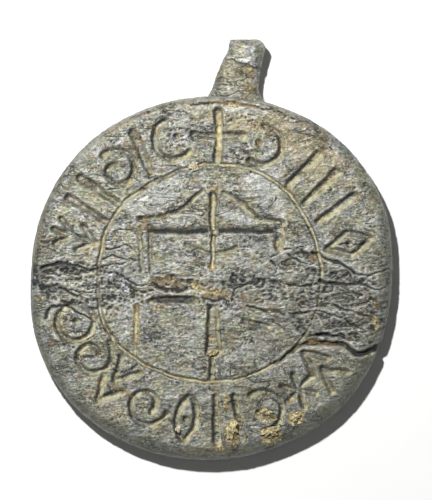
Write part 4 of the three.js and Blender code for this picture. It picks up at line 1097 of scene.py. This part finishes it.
def weathered_lead():
    """Three grains give the skin's tone, from dark to pale grey, and clouds tint it. Over it go, each by a
    mask or a pattern times its strength: the broken skin's brown, tan loam, rubbed crests with painted
    highlight, dust, specks, the darker patina with painted shade towards the lower right, painted shade on
    the rim's far side, dirt with painted shade, packed earth, the earth film as painted highlight, rust and
    bared metal with painted glints. Whatever is covered is duller and less metallic."""
    material, tree, shader, place = start_material("weathered_lead")
    grain = use(tree, grain_group, place, Scale=4200.0, Streak=1.5, Cracking=0.3)
    finest = use(tree, grain_group, place, Scale=5600.0, Streak=1.3, Cracking=0.0)["Height"]
    coarse = use(tree, grain_group, place, Scale=1800.0, Streak=2.2, Cracking=0.5)
    dust = use(tree, film_group, place, Scale=1500.0, Cover=0.3)["Mask"]
    specks = use(tree, speck_group, place, Scale=3600.0, Amount=0.16)["Mask"]
    blue = ramp(tree, noise(tree, place, 700.0, 3.0, 0.6), 0.45, 0.62)
    olive = ramp(tree, noise(tree, place, 430.0, 4.0, 0.6), 0.42, 0.6)
    brown = ramp(tree, noise(tree, place, 1100.0, 4.0, 0.65), 0.5, 0.66)
    masks = {name: mask_of(tree, name) for name in face_masks}

    hue = ramp(tree, noise(tree, place, 1900.0, 3.0, 0.6), 0.43, 0.57)
    tone = calc(tree, "MULTIPLY_ADD", grain["Height"], 0.38, calc(tree, "MULTIPLY", coarse["Height"], 0.27))
    tone = calc(tree, "MULTIPLY_ADD", finest, 0.35, tone)
    colour = blend(tree, ramp(tree, tone, 0.33, 0.64), paint("#4b4c49"), paint("#cdcdc5"))
    cloud = noise(tree, place, 420.0, 3.0, 0.6)
    colour = lay(tree, colour, ramp(tree, cloud, 0.48, 0.38), 0.36, paint("#54564e"))
    colour = lay(tree, colour, ramp(tree, cloud, 0.53, 0.64), 0.36, paint("#bfc0bb"))
    colour = blend(tree, 0.5, colour, blend(tree, hue, paint("#d8e6cf"), paint("#e6d9ea")), "MULTIPLY")
    colour = lay(tree, colour, blue, 0.5, paint("#d2dfea"), "MULTIPLY")
    colour = lay(tree, colour, olive, 0.7, paint("#d0cca2"), "MULTIPLY")
    colour = lay(tree, colour, brown, 0.65, paint("#cba985"), "MULTIPLY")
    colour = lay(tree, colour, masks["broken"], 0.3, paint("#6d6a5e"))
    loam = calc(tree, "MULTIPLY", masks["tan"], ramp(tree, coarse["Height"], 0.1, 0.6))
    colour = lay(tree, colour, loam, 0.45, paint("#9d8a63"))
    # Paler crests: rubbed wear, with painted highlight along the bar's lower lip and on the rim's top.
    colour = lay(tree, colour, masks["crest"], 0.5, paint("#c1c3be"))
    colour = lay(tree, colour, dust, 0.3, paint("#aaa384"))
    colour = lay(tree, colour, specks, 0.55, paint("#cdcaa9"))
    # The patina gets darker as Y less 0.6 X falls, which is from the upper left to the lower right, away
    # from the lamp: partly painted shade.
    across = add_node(tree, "ShaderNodeSeparateXYZ", {0: place}).outputs
    darker_patina_and_shade = ramp(tree, calc(tree, "MULTIPLY_ADD", across["X"], -0.6, across["Y"]), 11 * MM, -15 * MM)
    colour = lay(tree, colour, darker_patina_and_shade, 0.36, paint("#4a4c43"))
    # Painted shade on the rim's side away from the lamp.
    colour = lay(tree, colour, masks["rim_shade"], 0.42, paint("#484e49"))
    # Dark dirt in cracks and hollows, with painted shade on cut walls and in the fields above the bar.
    dirt_and_shade = calc(tree, "MULTIPLY", grain["Cracks"], 0.5)
    dirt_and_shade = calc(tree, "MAXIMUM", calc(tree, "MULTIPLY", masks["crevice"], 0.85), dirt_and_shade)
    dirt_and_shade = calc(tree, "MINIMUM", dirt_and_shade, 0.95)
    colour = blend(tree, dirt_and_shade, colour, blend(tree, brown, paint("#25292a"), paint("#362c1e")))

    earth_tone = noise(tree, place, 3200.0, 2.0, 0.6)
    cover = calc(tree, "MULTIPLY", masks["earth"], 0.75)
    packed = use(tree, film_group, place, Scale=2600.0, Cover=cover)["Mask"]
    packed = calc(tree, "MULTIPLY", packed, ramp(tree, masks["earth"], 0.0, 0.3))
    earth_colour = blend(tree, ramp(tree, earth_tone, 0.34, 0.48), paint("#4c4029"), paint("#95835a"))
    earth_colour = blend(tree, ramp(tree, earth_tone, 0.5, 0.64), earth_colour, paint("#ddd2a6"))
    colour = lay(tree, colour, packed, 0.85, earth_colour)
    # Earth film on the cut walls that face the lamp, laid on as painted highlight.
    thin = calc(tree, "MULTIPLY", masks["earth_film_and_highlight"], ramp(tree, coarse["Height"], 0.1, 0.5))
    film_and_highlight_colour = blend(tree, brown, paint("#e0dab0"), paint("#c0a878"))
    colour = lay(tree, colour, thin, 0.85, film_and_highlight_colour)
    cover = calc(tree, "MULTIPLY", masks["rust"], 0.65)
    stained = use(tree, film_group, place, Scale=2800.0, Cover=cover)["Mask"]
    stained = calc(tree, "MULTIPLY", stained, ramp(tree, masks["rust"], 0.0, 0.4))
    rust_colour = blend(tree, ramp(tree, earth_tone, 0.35, 0.62), paint("#523a22"), paint("#a98f62"))
    colour = lay(tree, colour, stained, 0.6, rust_colour)
    # Bared metal with painted glints.
    bright = calc(tree, "MULTIPLY", masks["glint"], ramp(tree, grain["Height"], 0.35, 0.6))
    colour = blend(tree, bright, colour, paint("#d4d3dc"))

    covered = calc(tree, "MAXIMUM", calc(tree, "MAXIMUM", packed, stained), calc(tree, "MAXIMUM", dirt_and_shade, thin))
    metal = calc(tree, "MULTIPLY", calc(tree, "SUBTRACT", 1.0, covered), 0.3)
    dull = calc(tree, "MULTIPLY_ADD", covered, 0.4, 0.48)
    height = calc(tree, "MULTIPLY_ADD", grain["Height"], 0.6, coarse["Height"])
    height = calc(tree, "MULTIPLY_ADD", finest, 0.3, height)
    bump = add_node(tree, "ShaderNodeBump", {"Strength": 1.0, "Distance": 0.15 * MM, "Height": height})
    set_inputs(tree, shader, {
        "Base Color": colour, "Metallic": metal, "Roughness": dull, "Normal": bump.outputs[0],
        "Specular IOR Level": 0.5,
    })
    return material


lead = weathered_lead()
for piece in (disc, lug):
    piece.data.materials.append(lead)
print("lead:", len(lead.node_tree.nodes), "nodes")

# %% [markdown]
# The crumbs are dull and carry no metal. The earth is a loose ochre clay with a few pale grains. The grit
# is a light, slightly dusty stone. Both get painted shade in their hollows.

# %% Earth and grit
def crumb_finish(name, dark, light, grain_scale, dust_colour, roughness):
    """Dark to light by the grain, dust over it, pale specks, and painted shade in the hollows of the lump."""
    material, tree, shader, place = start_material(name)
    grain = use(tree, grain_group, place, Scale=grain_scale, Streak=1.1, Cracking=0.4)
    dust = use(tree, film_group, place, Scale=1800.0, Cover=0.42)["Mask"]
    specks = use(tree, speck_group, place, Scale=4200.0, Amount=0.2)["Mask"]
    crevice = mask_of(tree, "crevice")
    colour = blend(tree, ramp(tree, grain["Height"], 0.3, 0.66), paint(dark), paint(light))
    colour = lay(tree, colour, dust, 0.4, paint(dust_colour))
    colour = lay(tree, colour, specks, 0.4, paint("#e4dcbc"))
    # Painted shade in the lump's hollows.
    colour = lay(tree, colour, crevice, 0.62, paint("#574a30"))
    sockets = {"Strength": 0.9, "Distance": 0.12 * MM, "Height": grain["Height"]}
    bump = add_node(tree, "ShaderNodeBump", sockets)
    dull = calc(tree, "ADD", roughness, calc(tree, "MULTIPLY", crevice, 0.08))
    set_inputs(tree, shader, {
        "Base Color": colour, "Metallic": 0.0, "Roughness": dull, "Normal": bump.outputs[0],
    })
    return material


finishes = {
    "ochre_earth": crumb_finish("ochre_earth", "#7d6a42", "#e6daac", 3000.0, "#cfc7a4", 0.9),
    "pale_grit": crumb_finish("pale_grit", "#c8bc98", "#f6efda", 3800.0, "#dacca6", 0.8),
}
for lump, facts in zip(crumbs, CRUMBS.values()):
    lump.data.materials.append(finishes[facts[-1]])
print("finishes:", sorted(finishes))

# %% [markdown]
# ## Floor, light and camera
#
# The photograph was taken from straight above, with one small lamp at the upper left that draws every cut
# as a dark wall and a bright wall, helped by painted shade and painted highlight, and a faint light from all
# round. The floor is nearly white and keeps the shadow. The lamp is close to the object, so the lower right
# of the face is a little darker, as in the photograph, and painted shade in the lead's colour adds to it.

# %% Floor and surroundings
KEY_SHARE = 0.93  # of the light that a level white surface gets; the surroundings give the rest
GLOSSY_SHARE = 0.5  # of the white surroundings that a reflection shows
FLOOR_HALF, FLOOR_DROP = 400, 0.02  # the drop keeps the floor from touching the flat back
floor_mesh = bpy.data.meshes.new("floor")
floor_corners = FLOOR_HALF * np.array([(-1, -1, 0), (1, -1, 0), (1, 1, 0), (-1, 1, 0)]) - (0, 0, FLOOR_DROP)
floor_mesh.from_pydata((floor_corners * MM).tolist(), [], [(0, 1, 2, 3)])
floor = bpy.data.objects.new("floor", floor_mesh)
bpy.context.scene.collection.objects.link(floor)
floor_material, tree, shader, place = start_material("white_floor")
unseen = noise(tree, place, 300.0)
set_inputs(tree, shader, {
    "Base Color": blend(tree, unseen, paint("#f6f6f5"), paint("#f8f8f7")), "Roughness": 0.9,
    "Specular IOR Level": 0.1, "Emission Color": (1, 1, 1, 1),
})
light_path = tree.nodes.new("ShaderNodeLightPath").outputs
tree.links.new(calc(tree, "MULTIPLY", light_path["Is Camera Ray"], 0.02), shader.inputs["Emission Strength"])
floor_mesh.materials.append(floor_material)

world = bpy.data.worlds.new("surroundings")
bpy.context.scene.world = world
world.use_nodes = True
tree = world.node_tree
tree.nodes.clear()
light_path = tree.nodes.new("ShaderNodeLightPath").outputs
seen = calc(tree, "MAXIMUM", light_path["Is Camera Ray"], light_path["Is Transmission Ray"])
seen = calc(tree, "MAXIMUM", seen, calc(tree, "MULTIPLY", light_path["Is Glossy Ray"], GLOSSY_SHARE))
strength = calc(tree, "ADD", 1 - KEY_SHARE, calc(tree, "MULTIPLY", seen, KEY_SHARE))
background = add_node(tree, "ShaderNodeBackground", {"Color": (1, 1, 1, 1), "Strength": strength})
tree.links.new(background.outputs[0], add_node(tree, "ShaderNodeOutputWorld").inputs["Surface"])

# %% Lamp and camera
LAMP_BEARING, LAMP_ELEVATION, LAMP_DISTANCE, LAMP_SIZE = 120, 68, 260, 12
LAMP_GAIN = 1.22  # times the light that would make a level white surface white, set for the lead
PHOTO_MIDDLE = (0.5, 2.8)  # what the photograph's middle shows, on the face's plane
lift, swing = math.radians(LAMP_ELEVATION), math.radians(LAMP_BEARING)
direction = np.array([math.cos(lift) * math.cos(swing), math.cos(lift) * math.sin(swing), math.sin(lift)])
target = np.array([*PHOTO_MIDDLE, FACE_HEIGHT])
lamp_data = bpy.data.lights.new("lamp", "AREA")
lamp_data.shape, lamp_data.size = "DISK", LAMP_SIZE * MM
# P watts at the distance d give a level white surface the brightness P sin(elevation) / (pi d)^2.
lamp_data.energy = LAMP_GAIN * KEY_SHARE * math.pi**2 * (LAMP_DISTANCE * MM) ** 2 / math.sin(lift)
lamp = bpy.data.objects.new("lamp", lamp_data)
lamp.location = (target + direction * LAMP_DISTANCE) * MM
lamp.rotation_euler = (math.pi / 2 - lift, 0, swing + math.pi / 2)
bpy.context.scene.collection.objects.link(lamp)

PHOTO_HEIGHT = 50.0  # how much of the face's plane the frame's 500 pixels cover
camera_data = bpy.data.cameras.new("camera")
camera_data.lens, camera_data.sensor_width = 400, 36
camera_data.clip_start = 10 * MM
camera = bpy.data.objects.new("camera", camera_data)
camera_height = FACE_HEIGHT + PHOTO_HEIGHT * camera_data.lens / camera_data.sensor_width
camera.location = (target[0] * MM, target[1] * MM, camera_height * MM)
bpy.context.scene.collection.objects.link(camera)
bpy.context.scene.camera = camera
bpy.context.scene.view_settings.view_transform = "Standard"
print("lamp", round(lamp_data.energy, 4), "W, camera", round(camera_height), "mm above the table")

# %% The end
bpy.context.view_layer.update()
